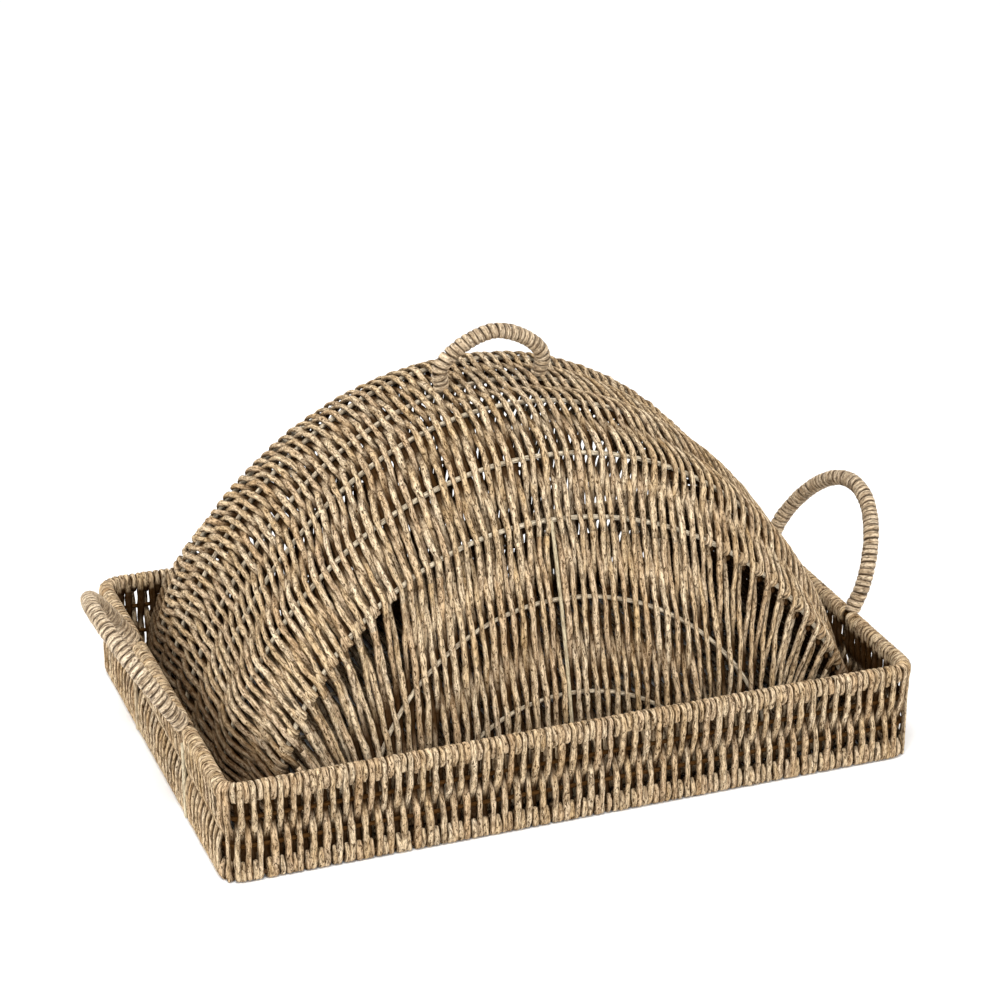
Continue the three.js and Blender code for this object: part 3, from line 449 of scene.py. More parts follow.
# Materials
class Nodes:
    """Short ways to add and join the nodes of one material."""

    def __init__(self, name):
        self.material = bpy.data.materials.new(name)
        self.material.use_nodes = True
        self.tree = self.material.node_tree
        self.shader = self.tree.nodes["Principled BSDF"]

    def add(self, kind, **values):
        node = self.tree.nodes.new(kind)
        for key, value in values.items():
            setattr(node, key, value)
        return node

    def join(self, source, target):
        self.tree.links.new(source, target)

    def grain(self, along, around):
        """Coordinates that stretch a pattern along the strands, in pattern cells per millimetre."""
        uv = self.add("ShaderNodeUVMap", uv_map="grain")
        mapping = self.add("ShaderNodeMapping")
        mapping.inputs["Scale"].default_value = (along / MM, around / MM, 1)
        self.join(uv.outputs["UV"], mapping.inputs["Vector"])
        return mapping.outputs["Vector"]

    def noise(self, vector, detail=3.0, roughness=0.55, distortion=0.0):
        node = self.add("ShaderNodeTexNoise")
        node.inputs["Scale"].default_value = 1.0
        node.inputs["Detail"].default_value = detail
        node.inputs["Roughness"].default_value = roughness
        node.inputs["Distortion"].default_value = distortion
        self.join(vector, node.inputs["Vector"])
        return node.outputs["Fac"]

    def remap(self, value, low, high, to_low=0.0, to_high=1.0):
        node = self.add("ShaderNodeMapRange")
        node.inputs["From Min"].default_value = low
        node.inputs["From Max"].default_value = high
        node.inputs["To Min"].default_value = to_low
        node.inputs["To Max"].default_value = to_high
        self.join(value, node.inputs["Value"])
        return node.outputs["Result"]

    def math(self, kind, a, b):
        node = self.add("ShaderNodeMath", operation=kind)
        for socket, value in zip(node.inputs, (a, b)):
            if isinstance(value, (int, float)):
                socket.default_value = value
            else:
                self.join(value, socket)
        return node.outputs["Value"]

    def mix(self, share, a, b, blend="MIX"):
        node = self.add("ShaderNodeMix", data_type="RGBA", blend_type=blend)
        for name, value in ((0, share), (6, a), (7, b)):
            if isinstance(value, (int, float)):
                node.inputs[name].default_value = value
            elif isinstance(value, tuple):
                node.inputs[name].default_value = (*value, 1)
            else:
                self.join(value, node.inputs[name])
        return node.outputs[2]

    def attribute(self, name):
        return self.add("ShaderNodeAttribute", attribute_name=name).outputs["Fac"]


def straw(name, pale, mid, roughness=0.5, fleck_amount=0.3, inner_shade_strength=0.3, flank_shade_strength=0.0, stain=STAIN,
          gloss=0.1):
    """Dried strand: pale to brown fibres with dark flecks, and painted shade in the weave and on its sides.
    """
    n = Nodes(name)
    fibres = n.noise(n.grain(0.11, 0.95), detail=5, roughness=0.78)
    blotches = n.noise(n.grain(0.05, 0.14), detail=3, roughness=0.6)
    flecks = n.noise(n.grain(0.30, 1.0), detail=4, roughness=0.72, distortion=0.8)
    mottle = n.noise(n.grain(0.14, 0.42), detail=4, roughness=0.65)
    shade = n.attribute("shade")
    tone = n.math("ADD", n.math("MULTIPLY", shade, 0.45), n.remap(blotches, 0.32, 0.68, 0.0, 0.6))
    base = n.mix(tone, mid, pale)
    ruddy = n.remap(n.math("PINGPONG", n.math("MULTIPLY", shade, 7.0), 1.0), 0.5, 1.0)
    base = n.mix(n.math("MULTIPLY", ruddy, 0.35), base, RUDDY)
    shadow = n.mix(0.74, base, stain)
    base = n.mix(n.remap(fibres, 0.42, 0.54, 0.95, 0.0), base, shadow)
    base = n.mix(n.remap(mottle, 0.52, 0.62, 0.0, 0.75), base, shadow)
    speck = n.math("MULTIPLY", n.remap(flecks, 0.53, 0.59), fleck_amount)
    base = n.mix(speck, base, BARK)
    # Painted shade: darker where the strand lies inside the weave, by its inside value.
    painted_shade = n.math("MULTIPLY", n.remap(n.attribute("inside"), 0.34, 0.86), inner_shade_strength)
    base = n.mix(painted_shade, base, SHADE_BROWN)
    # Painted shade: darker on the strand's sides, where it meets its neighbours.
    painted_flank_shade = n.math("MULTIPLY", n.remap(n.attribute("flank"), 0.50, 1.0), flank_shade_strength)
    base = n.mix(painted_flank_shade, base, SHADE_BROWN)
    n.join(base, n.shader.inputs["Base Color"])
    n.join(n.remap(fibres, 0.3, 0.7, roughness + 0.12, roughness - 0.08), n.shader.inputs["Roughness"])
    height = n.math("ADD", n.math("MULTIPLY", fibres, 0.9), n.math("MULTIPLY", mottle, -0.9))
    height = n.math("SUBTRACT", height, n.math("MULTIPLY", speck, 0.35))
    bump = n.add("ShaderNodeBump")
    bump.inputs["Strength"].default_value = 0.9
    bump.inputs["Distance"].default_value = 0.001
    n.join(height, bump.inputs["Height"])
    n.join(bump.outputs["Normal"], n.shader.inputs["Normal"])
    n.shader.inputs["Specular IOR Level"].default_value = gloss
    return n.material


# The weave and the windings get strong painted shade inside the weave and on the strands' sides.
weave_straw = straw("weave_straw", (0.92, 0.755, 0.53), (0.64, 0.44, 0.225), roughness=0.62,
                    fleck_amount=0.9, inner_shade_strength=0.95, flank_shade_strength=0.75, gloss=0.0)
winding_straw = straw("winding_straw", (0.93, 0.77, 0.56), (0.62, 0.46, 0.28), roughness=0.55,
                      fleck_amount=0.7, inner_shade_strength=0.7, flank_shade_strength=0.72, gloss=0.15)
wire_straw = straw("wire_straw", (0.84, 0.72, 0.53), (0.67, 0.55, 0.37), fleck_amount=0.35)
arch_straw = straw("arch_straw", (0.94, 0.83, 0.63), (0.79, 0.67, 0.47))
peeled_straw = straw("peeled_straw", (0.95, 0.86, 0.62), (0.84, 0.72, 0.48), fleck_amount=0.15)
olive_straw = straw("olive_straw", (0.74, 0.64, 0.43), (0.55, 0.46, 0.29))
# Dark brown strand for the tray's rim rod, wires and base rod.
dark_brown_straw = straw("dark_brown_straw", (0.13, 0.065, 0.022), (0.08, 0.035, 0.010), roughness=0.6,
                      fleck_amount=0.5, stain=BARK, gloss=0.0)
core_straw = straw("core_straw", (0.42, 0.30, 0.17), (0.28, 0.19, 0.10), roughness=0.65, gloss=0.0)


# Tray ring
def tray_ring():
    """The ring's points and normals, clockwise from above, from the middle of the front right corner."""
    points, normals = [], []
    for corner in range(5):
        shares = np.linspace(0, 1, CORNER_STEPS + 1)
        if corner == 0:
            shares = shares[CORNER_STEPS // 2:]
        if corner == 4:
            shares = shares[:CORNER_STEPS // 2 + 1]
        for share in shares:
            angle = -math.pi / 2 * (corner + share)
            turn = corner % 4
            sign_x = 1 if turn in (0, 3) else -1
            sign_y = -1 if turn < 2 else 1
            outward = np.array([math.cos(angle), math.sin(angle), 0.0])
            centre = np.array([sign_x * (WALL_LINE_X - TRAY_CORNER_RADIUS),
                               sign_y * (WALL_LINE_Y - TRAY_CORNER_RADIUS), 0.0])
            points.append(centre + TRAY_CORNER_RADIUS * outward)
            normals.append(outward)
    return np.array(points), np.array(normals)


ring_points, ring_normals = tray_ring()
ring_reach = reaches_along(ring_points)
corner_bend = TRAY_CORNER_RADIUS * math.pi / 4
wall_lengths = [2 * (line - TRAY_CORNER_RADIUS) + 2 * corner_bend
                for line in (WALL_LINE_X, WALL_LINE_Y, WALL_LINE_X, WALL_LINE_Y)]
wall_starts = np.concatenate([[0], np.cumsum(wall_lengths)])


def on_ring(reach):
    reach = reach % ring_reach[-1]
    return between(reach, ring_reach, ring_points), unit(between(reach, ring_reach, ring_normals))


def side_wall_reach(side, y):
    """How far along the ring a point of a side wall lies."""
    if side < 0:
        return wall_starts[1] + corner_bend + y + WALL_LINE_Y - TRAY_CORNER_RADIUS
    return wall_starts[3] + corner_bend + WALL_LINE_Y - TRAY_CORNER_RADIUS - y


corner_reaches = [*wall_starts[:4], ring_reach[-1]]
handle_reaches = [side_wall_reach(side, SIDE_HANDLE_SHIFT + end * SIDE_HANDLE_HALF_SPAN)
                  for side in (-1, 1) for end in (-1, 1)]


def beside_stakes(reach, height):
    """Moves a strand sideways, off the stakes. Over the rim it only makes room for a corner strand."""
    below_rim = min(max((RIM_HEIGHT - CORNER_CLEAR - height) / CORNER_CLEAR, 0), 1)
    moved = reach
    for stake in corner_reaches + handle_reaches:
        gap = reach - stake
        if 0 < abs(gap) < 4 * STAKE_PUSH_REACH:
            push = STAKE_PUSH
            if stake in corner_reaches:
                push = CORNER_ROOM + (STAKE_PUSH - CORNER_ROOM) * below_rim
            moved += math.copysign(push * math.exp(-((gap / STAKE_PUSH_REACH) ** 2)), gap)
    return moved


# Tray walls. An outer strand shows outside above and inside below, an inner strand the other way
# round. Both go over the rim rod and end in a short tail behind it, and both turn under the base rod.
def wall_keys(face, tail):
    """Rows down a strand, with face 1 for an outer strand: its offset outward, its height, which way
    its thickness points outward and up, its size, and its share of the wrap round the rim rod."""
    keys = [(-face * RIM_TAIL_OFFSET, RIM_HEIGHT - RIM_TAIL_DROP - tail, -face, 0, 0.86, 0.3),
            (-face * RIM_PASS_OFFSET, RIM_HEIGHT - RIM_EXIT_DROP, -face, 0, 1.04, 0.6)]
    for degrees in (-8, 30, 60, 90, 120, 150, 188):
        angle = math.radians(degrees)
        o, z = -face * math.cos(angle), math.sin(angle)
        keys.append((RIM_WRAP_RADIUS * o, RIM_HEIGHT + RIM_WRAP_RADIUS * z, o, z, 1.0, 1.0))
    keys.append((face * RIM_PASS_OFFSET, RIM_HEIGHT - RIM_ENTRY_DROP, face, 0, 1.0, 0.4))
    keys.append((face * STRAND_LIFT, UPPER_WIRE_HEIGHT, face, 0, 1.0, 0.0))
    keys.append((-face * STRAND_LIFT, LOWER_WIRE_HEIGHT, face, 0, 1.0, 0.0))
    keys.append((-face * STRAND_LIFT, BASE_ROD_HEIGHT + BASE_ENTRY_RISE, face, 0, 1.0, 0.0))
    for degrees in (0, -45, -90, -135, -180):
        angle = math.radians(degrees)
        o, z = -face * math.cos(angle), math.sin(angle)
        keys.append((STRAND_LIFT * o, BASE_ROD_HEIGHT + STRAND_LIFT * z, -o, -z, 1.0, 0.4))
    keys.append((face * BASE_EXIT_OFFSET, BASE_ROD_HEIGHT + BASE_EXIT_RISE, -face, 0, 0.95, 0.2))
    keys.append((face * BASE_TAIL_OFFSET, BASE_ROD_HEIGHT + BASE_TAIL_RISE, -face, 0, 0.8, 0.0))
    return keys


def wall_strand(reach, face, half_width):
    keys = []
    lean = rng.normal(0, WALL_LEAN_SCATTER)
    tail = rng.normal(0, WALL_TAIL_SCATTER)
    for offset, height, out, rise, scale, wrap in wall_keys(face, tail):
        share = (RIM_HEIGHT - height) / RIM_HEIGHT
        slip = lean * share + rng.normal(0, WALL_SLIP_SCATTER)
        at, outward = on_ring(beside_stakes(reach, height) + slip)
        hint = unit(outward * out + np.array([0, 0, rise]))
        # Painted shade on the stretches that lie inside the wall, below the rim.
        inside = inner_shade_value(offset / STRAND_LIFT) if height < RIM_HEIGHT - RIM_SHADE_DROP else 0.0
        wide = half_width + (WRAP_HALF_WIDTH - half_width) * wrap
        thick = WALL_HALF_THICKNESS + (WRAP_HALF_THICKNESS - WALL_HALF_THICKNESS) * wrap
        place = at + outward * offset + np.array([0, 0, height])
        keys.append(row(place, hint, wide * scale, thick * scale, min(max(inside, 0), 1)))
    rows, _ = flow(keys, WALL_STEP)
    return rounded_ends(wavering(rows, *WALL_WAVER))


def build_tray_walls():
    for wall, name in enumerate(("front", "left", "back", "right")):
        strands = [wall_strand(wall_starts[wall], 1, WALL_HALF_WIDTHS[wall])]
        for k in range(WALL_COUNTS[wall]):
            reach = wall_starts[wall] + (k + 0.5) * wall_lengths[wall] / WALL_COUNTS[wall]
            strands.append(wall_strand(reach, 1 if k % 2 == 0 else -1, WALL_HALF_WIDTHS[wall]))
        piece(f"woven_wall_{name}", strands, weave_straw, "tray", [f"tray_weave_{name}"])


floor_rod_depths = [(i - (FLOOR_ROD_COUNT - 1) / 2) * FLOOR_ROD_SPACING for i in range(FLOOR_ROD_COUNT)]


def build_tray_floor():
    half_x = WALL_LINE_X - LAYER_FAR - CLEARANCE
    half_y = WALL_LINE_Y - LAYER_FAR - CLEARANCE
    count = round(2 * half_x / FLOOR_PITCH)
    strands = []
    for k in range(count):
        x = -half_x + (k + 0.5) * 2 * half_x / count
        face = 1 if k % 2 == 0 else -1
        reach = half_y - (FLOOR_CORNER_GAP if abs(x) > half_x - FLOOR_CORNER_REACH else FLOOR_END_GAP)
        heights = [(-reach, 0.0)]
        for i, y in enumerate(floor_rod_depths):
            heights.append((y, face * (-1) ** i * STRAND_LIFT * FLOOR_LIFT_SHARE))
        heights.append((reach, 0.0))
        keys = []
        for y, h in heights:
            at = np.array([x + rng.normal(0, FLOOR_SCATTER), y, BASE_ROD_HEIGHT + h])
            # Painted shade on the floor strands, deeper where they dip under the rods.
            keys.append(row(at, UP, inside=0.75 if h <= 0 else 0.55))
        rows, _ = flow(keys, FLOOR_STEP)
        strands.append(rounded_ends(wavering(rows, *FLOOR_WAVER)))
    piece("woven_floor", strands, weave_straw, "tray",
          ["tray_floor_weave_lower", "tray_floor_weave_upper"], sides=6)


# Rods and wires
def rod(name, points, outward, radius, body, nodes, shift=None, ends=True, material=wire_straw):
    """A round rod along points, with outward for a direction across it."""
    points = np.asarray(points, float)
    sizes = np.tile([radius, radius, 0.0], (len(points), 1))
    rows = np.hstack([points, np.broadcast_to(outward, points.shape), sizes])
    if ends:
        rows = rounded_ends(rows)
    piece(name, [rows], material, body, nodes, sides=ROD_SIDES, shift=shift)


def stake(node, foot, outward, material):
    heights = np.linspace(WALL_STAKE_LIFT + STAKE_INSET, WALL_STAKE_TOP - STAKE_INSET, WALL_STAKE_PIECES + 1)
    points = [foot + UP * height for height in heights]
    rod(f"round_{node}", points, outward, WIRE_RADIUS, "tray", [node], material=material)


def build_tray_rods():
    rings = (("rim_rod", RIM_ROD_RADIUS, RIM_HEIGHT), ("upper_wire", WIRE_RADIUS, UPPER_WIRE_HEIGHT),
             ("lower_wire", WIRE_RADIUS, LOWER_WIRE_HEIGHT), ("base_rod", WIRE_RADIUS, BASE_ROD_HEIGHT))
    for name, radius, height in rings:
        points = [on_ring(r)[0] + UP * height for r in np.linspace(0, ring_reach[-1], RING_PIECES + 1)[:-1]]
        points.append(points[0])
        rod(f"round_tray_{name}", points, UP, radius, "tray", [f"tray_{name}"],
            ends=False, material=dark_brown_straw)
    corners = ("front_right", "front_left", "back_left", "back_right")
    for name, reach in zip(corners, wall_starts[:4]):
        at, outward = on_ring(reach)
        stake(f"corner_stake_{name}", at + STAKE_OFFSET * outward, outward, weave_straw)
    for side, side_name in ((-1, "left"), (1, "right")):
        for end, end_name in ((-1, "front"), (1, "back")):
            y = SIDE_HANDLE_SHIFT + end * SIDE_HANDLE_HALF_SPAN
            foot = np.array([side * (WALL_LINE_X + STAKE_OFFSET), y, 0.0])
            stake(f"handle_stake_{side_name}_{end_name}", foot, side * LENGTHWISE, peeled_straw)
    rod_end = WALL_LINE_X - LAYER_FAR - CLEARANCE - FLOOR_END_GAP
    for i, y in enumerate(floor_rod_depths):
        points = [[x, y, BASE_ROD_HEIGHT] for x in np.linspace(-rod_end, rod_end, FLOOR_ROD_PIECES + 1)]
        rod(f"round_floor_rod_{i + 1}", points, UP, WIRE_RADIUS, "tray", [f"tray_floor_rod_{i + 1}"])


# Cover arches
class Arch:
    """One arch of the crown, sampled from its left foot to its right foot."""

    def __init__(self, side, top, base):
        share = top / RIDGE_TOP_DEPTH
        self.share = share
        self.rise = RIDGE_ARCH_RISE + (CENTRE_ARCH_RISE - RIDGE_ARCH_RISE) * (1 - share**CROWN_FALL)
        self.half_width = RIDGE_ARCH_HALF_WIDTH + RIDGE_ARCH_INSET * (1 - share**SIDE_TAPER)
        self.shoulder = CENTRE_ARCH_SHOULDER + (RIDGE_ARCH_SHOULDER - CENTRE_ARCH_SHOULDER) * share**2
        foot = math.acos((ARCH_FOOT_RISE / self.rise) ** (self.shoulder / 2))
        angle = np.linspace(-foot, foot, ARCH_SAMPLES + 1)
        lift = np.cos(angle) ** (2 / self.shoulder)
        depth = side * (base + (top - base) * lift**END_LEAN)
        height = COVER_ROD_HEIGHT + self.rise * lift
        self.points = np.stack([self.half_width * np.sin(angle), depth, height], 1)
        self.reach = reaches_along(self.points)
        self.half_length = self.reach[-1] / 2

    def at(self, distance):
        """The point at a distance along the arch from its top, with minus to the left."""
        return between(np.clip(self.half_length + distance, 0, self.reach[-1]), self.reach, self.points)


arches = [
    Arch(-1, RIDGE_TOP_DEPTH, RIDGE_BASE_DEPTH),
    Arch(-1, 2 * ARCH_SPACING, 2 * ARCH_SPACING),
    Arch(-1, ARCH_SPACING, ARCH_SPACING),
    Arch(1, 0, 0),
    Arch(1, ARCH_SPACING, ARCH_SPACING),
    Arch(1, 2 * ARCH_SPACING, 2 * ARCH_SPACING),
    Arch(1, RIDGE_TOP_DEPTH, RIDGE_BASE_DEPTH),
]
ARCH_NAMES = ("ridge_arch_front", "outer_arch_front", "inner_arch_front", "centre_arch",
              "inner_arch_back", "outer_arch_back", "ridge_arch_back")
LAST_ARCH = len(arches) - 1
STRANDS_PER_HALF = CROWN_STRANDS // 2


def arch_distance(arch, c):
    """How far from the top strand c crosses an arch. On the ridges strands crowd towards the feet."""
    even = c / STRANDS_PER_HALF
    crowding = STRAND_CROWDING * arch.share**2
    return arch.half_length * even * (1 + crowding * (1 - even**2))


# Each strand of the crown is counted from the left foot, and c is its number from the middle.
strand_numbers = np.arange(CROWN_STRANDS)
strand_c = strand_numbers - STRANDS_PER_HALF + 0.5 + rng.normal(0, STRAND_SCATTER, CROWN_STRANDS)
crossings = np.stack([arch.at(arch_distance(arch, strand_c)) for arch in arches])


def crown_normals():
    depth = np.empty_like(crossings)
    depth[1:-1] = crossings[2:] - crossings[:-2]
    depth[0] = crossings[1] - crossings[0]
    depth[-1] = crossings[-1] - crossings[-2]
    along = np.gradient(crossings, axis=1)
    return unit(np.cross(along, depth))


crossing_normals = crown_normals()


def end_depth(height):
    lift = max(height - COVER_ROD_HEIGHT, 0) / RIDGE_ARCH_RISE
    return RIDGE_BASE_DEPTH + (RIDGE_TOP_DEPTH - RIDGE_BASE_DEPTH) * lift**END_LEAN


def end_normal(side, height):
    slope = end_depth(height + 0.5) - end_depth(max(height - 0.5, 0))
    return unit(np.array([0, side, -slope]))


def end_arch_height(x, half_width, rise):
    share = min(abs(x) / half_width, 1)
    return COVER_ROD_HEIGHT + rise * (1 - share**2) ** (1 / END_ARCH_SHOULDER)


def strand_kind(number):
    """Which of four ways a strand takes at the ridge: over it, inside it, hooked on, or cut inside."""
    c = number - STRANDS_PER_HALF + 0.5
    if abs(c) < MIDDLE_STRANDS:
        return "over" if number % 2 == 0 else "under"
    return {2: "over", 3: "under", 0: "hook", 1: "cut"}[(number + PATTERN_START) % 4]


# The last strand of the middle zone goes over the ridge, and the pattern of four starts from it.
PATTERN_START = (2 - (STRANDS_PER_HALF + MIDDLE_STRANDS - 1)) % 4
panel_numbers = [n for n in strand_numbers if strand_kind(n) in ("over", "under")]
panel_middle = len(panel_numbers) / 2 - 0.5


def ridge_point(index, number):
    """Where a strand crosses a ridge. In the right flank under strands move into the room beside them."""
    c = strand_c[number]
    if strand_kind(number) == "under" and c > MIDDLE_STRANDS:
        c += FLANK_SPREAD
    return arches[index].at(arch_distance(arches[index], c))


def panel_base_x(number):
    """Where a strand of an end panel meets the base rod."""
    m = panel_numbers.index(number) - panel_middle
    inner = min(abs(m), MIDDLE_STRANDS)
    return math.copysign(PANEL_MIDDLE_PITCH * inner + PANEL_SIDE_PITCH * (abs(m) - inner), m)


def beside_panel_stake(x):
    return x + math.copysign(PANEL_STAKE_PUSH * math.exp(-((x / PANEL_STAKE_REACH) ** 2)), x)


def panel_point(side, x, height, offset):
    outward = end_normal(side, height)
    at = np.array([beside_panel_stake(x), side * end_depth(height), height])
    return at + outward * offset, outward


def panel_keys(side, number, face):
    """Rows down an end panel, from just below the ridge to the tail behind the base rod."""
    ridge = ridge_point(0 if side < 0 else LAST_ARCH, number)
    base_x = panel_base_x(number)
    drop = ridge[2] - COVER_ROD_HEIGHT
    wide = np.interp(base_x, PANEL_THINS, PANEL_HALF_WIDTHS)

    def x_at(height):
        share = (ridge[2] - height) / drop
        return ridge[0] + (base_x - ridge[0]) * (1 - (1 - min(max(share, 0), 1)) ** PANEL_DRIFT)

    levels = []
    heights = np.linspace(ridge[2] - PANEL_TOP_CLEAR, COVER_ROD_HEIGHT + PANEL_FOOT_CLEAR, PANEL_LEVELS)
    for half_width, rise in (UPPER_END_ARCH, LOWER_END_ARCH):
        for h in heights:
            if abs(x_at(h)) < half_width and h <= end_arch_height(x_at(h), half_width, rise):
                levels.append(h)
                break
    # Each row's inside value paints shade where the strand lies behind the arches and the base rod, and on
    # its tail.
    keys = []
    first = ridge[2] - min(BEND_REACH, BEND_SHARE * drop)
    sign = face
    for h in [first] + levels:
        lift = UNDER_RIDGE_LIFT if h == first and sign < 0 and base_x > 0 else sign * STRAND_LIFT
        at, outward = panel_point(side, x_at(h), h, lift)
        keys.append(row(at, outward, wide, inside=inner_shade_value(sign, 1.0 if h < first else 0.52)))
        if h == first and first - (levels + [COVER_ROD_HEIGHT])[0] > 3 * EASE_DROP:
            at, outward = panel_point(side, x_at(h - EASE_DROP), h - EASE_DROP, sign * EASED_LIFT)
            keys.append(row(at, outward, wide, inside=0.25 - 0.2 * sign))
        sign = -sign
    at, outward = panel_point(side, base_x, COVER_ROD_HEIGHT + PANEL_FOOT_RISE, sign * STRAND_LIFT)
    keys.append(row(at, outward, wide, inside=inner_shade_value(sign)))
    for degrees in (0, -50, -90, -130, -180):
        angle = math.radians(degrees)
        out = sign * math.cos(angle)
        rise = math.sin(angle)
        at = np.array([beside_panel_stake(base_x), side * (RIDGE_BASE_DEPTH + STRAND_LIFT * out),
                       COVER_ROD_HEIGHT + 0.95 * STRAND_LIFT * rise])
        keys.append(row(at, unit(np.array([0, side * out, rise])), inside=inner_shade_value(out)))
    at, outward = panel_point(side, base_x, COVER_ROD_HEIGHT + PANEL_TAIL_RISE, -sign * PANEL_TAIL_OFFSET)
    keys.append(row(at, -sign * outward, TAIL_HALF_WIDTH, TAIL_HALF_THICKNESS, 0.5))
    return keys


def crown_row(index, number, offset):
    outward = crossing_normals[index, number]
    # Painted shade where the strand passes under an arch.
    return row(crossings[index, number] + outward * offset, outward, inside=inner_shade_value(np.sign(offset)))


def ridge_side(index):
    return -1 if index == 0 else 1


def ridge_directions(index, number, at):
    """The crown's normal where a strand crosses a ridge, and the way from there to the next arch."""
    next_index = 1 if index == 0 else LAST_ARCH - 1
    return crossing_normals[index, number], unit(crossings[next_index, number] - at)


def bend_keys(index, number, face):
    """Rows over or under a ridge arch, from the crown to the ridge line."""
    at = ridge_point(index, number)
    crown, inward = ridge_directions(index, number, at)
    middle = unit(crown + end_normal(ridge_side(index), at[2]))
    # Painted shade on a strand that passes under the ridge arch.
    inside = inner_shade_value(face, 0.62)
    before = at + inward * BEND_REACH + crown * face * (STRAND_LIFT - BEND_EASE)
    over = at + middle * face * (STRAND_LIFT + RIDGE_ROOM)
    return [row(before, crown, inside=inside), row(over, middle, inside=inside)]


def hook_keys(index, number):
    """Rows of a strand end wound one and a half times round a ridge arch."""
    at = crossings[index, number]
    crown, inward = ridge_directions(index, number, at)
    arch = arches[index]
    distance = arch_distance(arch, strand_c[number])
    keys = [row(at + inward * BEND_REACH + crown * (STRAND_LIFT - RIDGE_ROOM), crown, HOOK_HALF_WIDTH)]
    for degrees in range(0, HOOK_TURN + 1, 45):
        share = max(degrees - 90, 0) / 360
        angle = math.radians(degrees)
        centre = arch.at(distance - HOOK_STEP * min(share, 1.0))
        radial = crown * math.cos(angle) - inward * math.sin(angle)
        wide = HOOK_HALF_WIDTH if degrees < 200 else HOOK_END_HALF_WIDTH
        at = centre + radial * (STRAND_LIFT + HOOK_ROOM)
        # The wound end's tip gets painted shade.
        keys.append(row(at, radial, wide, HOOK_HALF_THICKNESS, 0.5 if degrees == HOOK_TURN else 0.0))
    return keys


def cut_keys(index, number):
    """Rows of a strand that ends just inside a ridge arch."""
    at = crossings[index, number]
    crown, inward = ridge_directions(index, number, at)
    # The cut end inside the arch gets painted shade.
    return [row(at + inward * BEND_REACH - crown * (STRAND_LIFT - BEND_EASE), crown, inside=0.9),
            row(at - crown * (STRAND_LIFT + RIDGE_ROOM), crown, inside=1.0),
            row(at - inward * CUT_REACH - crown * (STRAND_LIFT + CUT_DROP), crown, inside=1.0)]


def end_of_strand(index, number):
    """Rows from the crown outward at one ridge, and how many of them belong to the crown."""
    kind = strand_kind(number)
    if kind == "hook":
        keys = hook_keys(index, number)
        return keys, len(keys)
    if kind == "cut":
        keys = cut_keys(index, number)
        return keys, len(keys)
    face = 1 if kind == "over" else -1
    keys = bend_keys(index, number, face)
    below = panel_keys(ridge_side(index), number, face)
    return keys + below, len(keys) + 1


def cover_strand(number):
    """One strand from end to end, split into its front, crown and back parts."""
    front, front_count = end_of_strand(0, number)
    back, back_count = end_of_strand(LAST_ARCH, number)
    middle = []
    for index in range(1, LAST_ARCH):
        face = 1 if (number + index) % 2 == 0 else -1
        middle.append(crown_row(index, number, face * STRAND_LIFT + rng.normal(0, LIFT_SCATTER)))
    keys = front[::-1] + middle + back
    for key in keys[2:-2]:
        key[:3] += rng.normal(0, PLACE_SCATTER, 3)
    rows, starts = flow(keys, COVER_STEP)
    rows = wavering(rows, *COVER_WAVER)
    first = starts[len(front) - front_count]
    last = starts[len(front) + len(middle) + back_count - 1]
    crown = rows[first:last + 1].copy()
    # Painted shade: the crown's strands darken towards their feet, down to FOOT_SHADE_BOTTOM.
    depth = np.clip((FOOT_SHADE_TOP - crown[:, 2]) / (FOOT_SHADE_TOP - FOOT_SHADE_BOTTOM), 0, 1)
    crown[:, 8] = np.maximum(crown[:, 8], FOOT_SHADE * depth)
    parts = {"crown": rounded_ends(crown, first == 0, last == len(rows) - 1)}
    if first > 0:
        parts["front"] = rounded_ends(rows[:first + 1], True, False)
    if last < len(rows) - 1:
        parts["back"] = rounded_ends(rows[last:], False, True)
    return parts


def build_cover_weave():
    groups = {"crown": [], "front": [], "back": []}
    for number in strand_numbers:
        for part, rows in cover_strand(number).items():
            groups[part].append(rows)
    half = len(groups["crown"]) // 2
    nodes = ["cover_crown_weave_outer", "cover_crown_weave_inner"]
    for name, strands in (("left", groups["crown"][:half]), ("right", groups["crown"][half:])):
        piece(f"woven_crown_{name}", strands, weave_straw, "cover", nodes, shift=COVER_SHIFT)
    for end in ("front", "back"):
        nodes = [f"cover_{end}_weave_{part}" for part in ("left", "right", "inner")]
        piece(f"woven_{end}_panel", groups[end], weave_straw, "cover", nodes, shift=COVER_SHIFT)


def cover_rod(name, node, points, outward, radius, ends=True, material=wire_straw):
    rod(name, points, outward, radius, "cover", [node], COVER_SHIFT, ends, material)


def build_end_rods(side, end):
    """The two arches and the stake of one end panel."""
    for level, (half_width, rise) in (("upper", UPPER_END_ARCH), ("lower", LOWER_END_ARCH)):
        foot = math.acos((ARCH_FOOT_RISE / rise) ** (END_ARCH_SHOULDER / 2))
        points = []
        for angle in np.linspace(-foot, foot, END_ARCH_PIECES + 1):
            height = COVER_ROD_HEIGHT + rise * math.cos(angle) ** (2 / END_ARCH_SHOULDER)
            points.append([half_width * math.sin(angle), side * end_depth(height), height])
        cover_rod(f"round_{level}_end_arch_{end}", f"cover_{level}_end_arch_{end}", points,
                  end_normal(side, END_ARCH_MIDDLE), WIRE_RADIUS)
    top = arches[0].points[:, 2].max()
    points = []
    for height in np.linspace(COVER_SEAT + STAKE_INSET, top - STAKE_INSET, END_STAKE_PIECES + 1):
        at = np.array([0, side * end_depth(height), height])
        points.append(at + STAKE_OFFSET * end_normal(side, height))
    cover_rod(f"round_cover_stake_{end}", f"cover_stake_{end}", points, LENGTHWISE, END_STAKE_RADIUS,
              material=olive_straw)


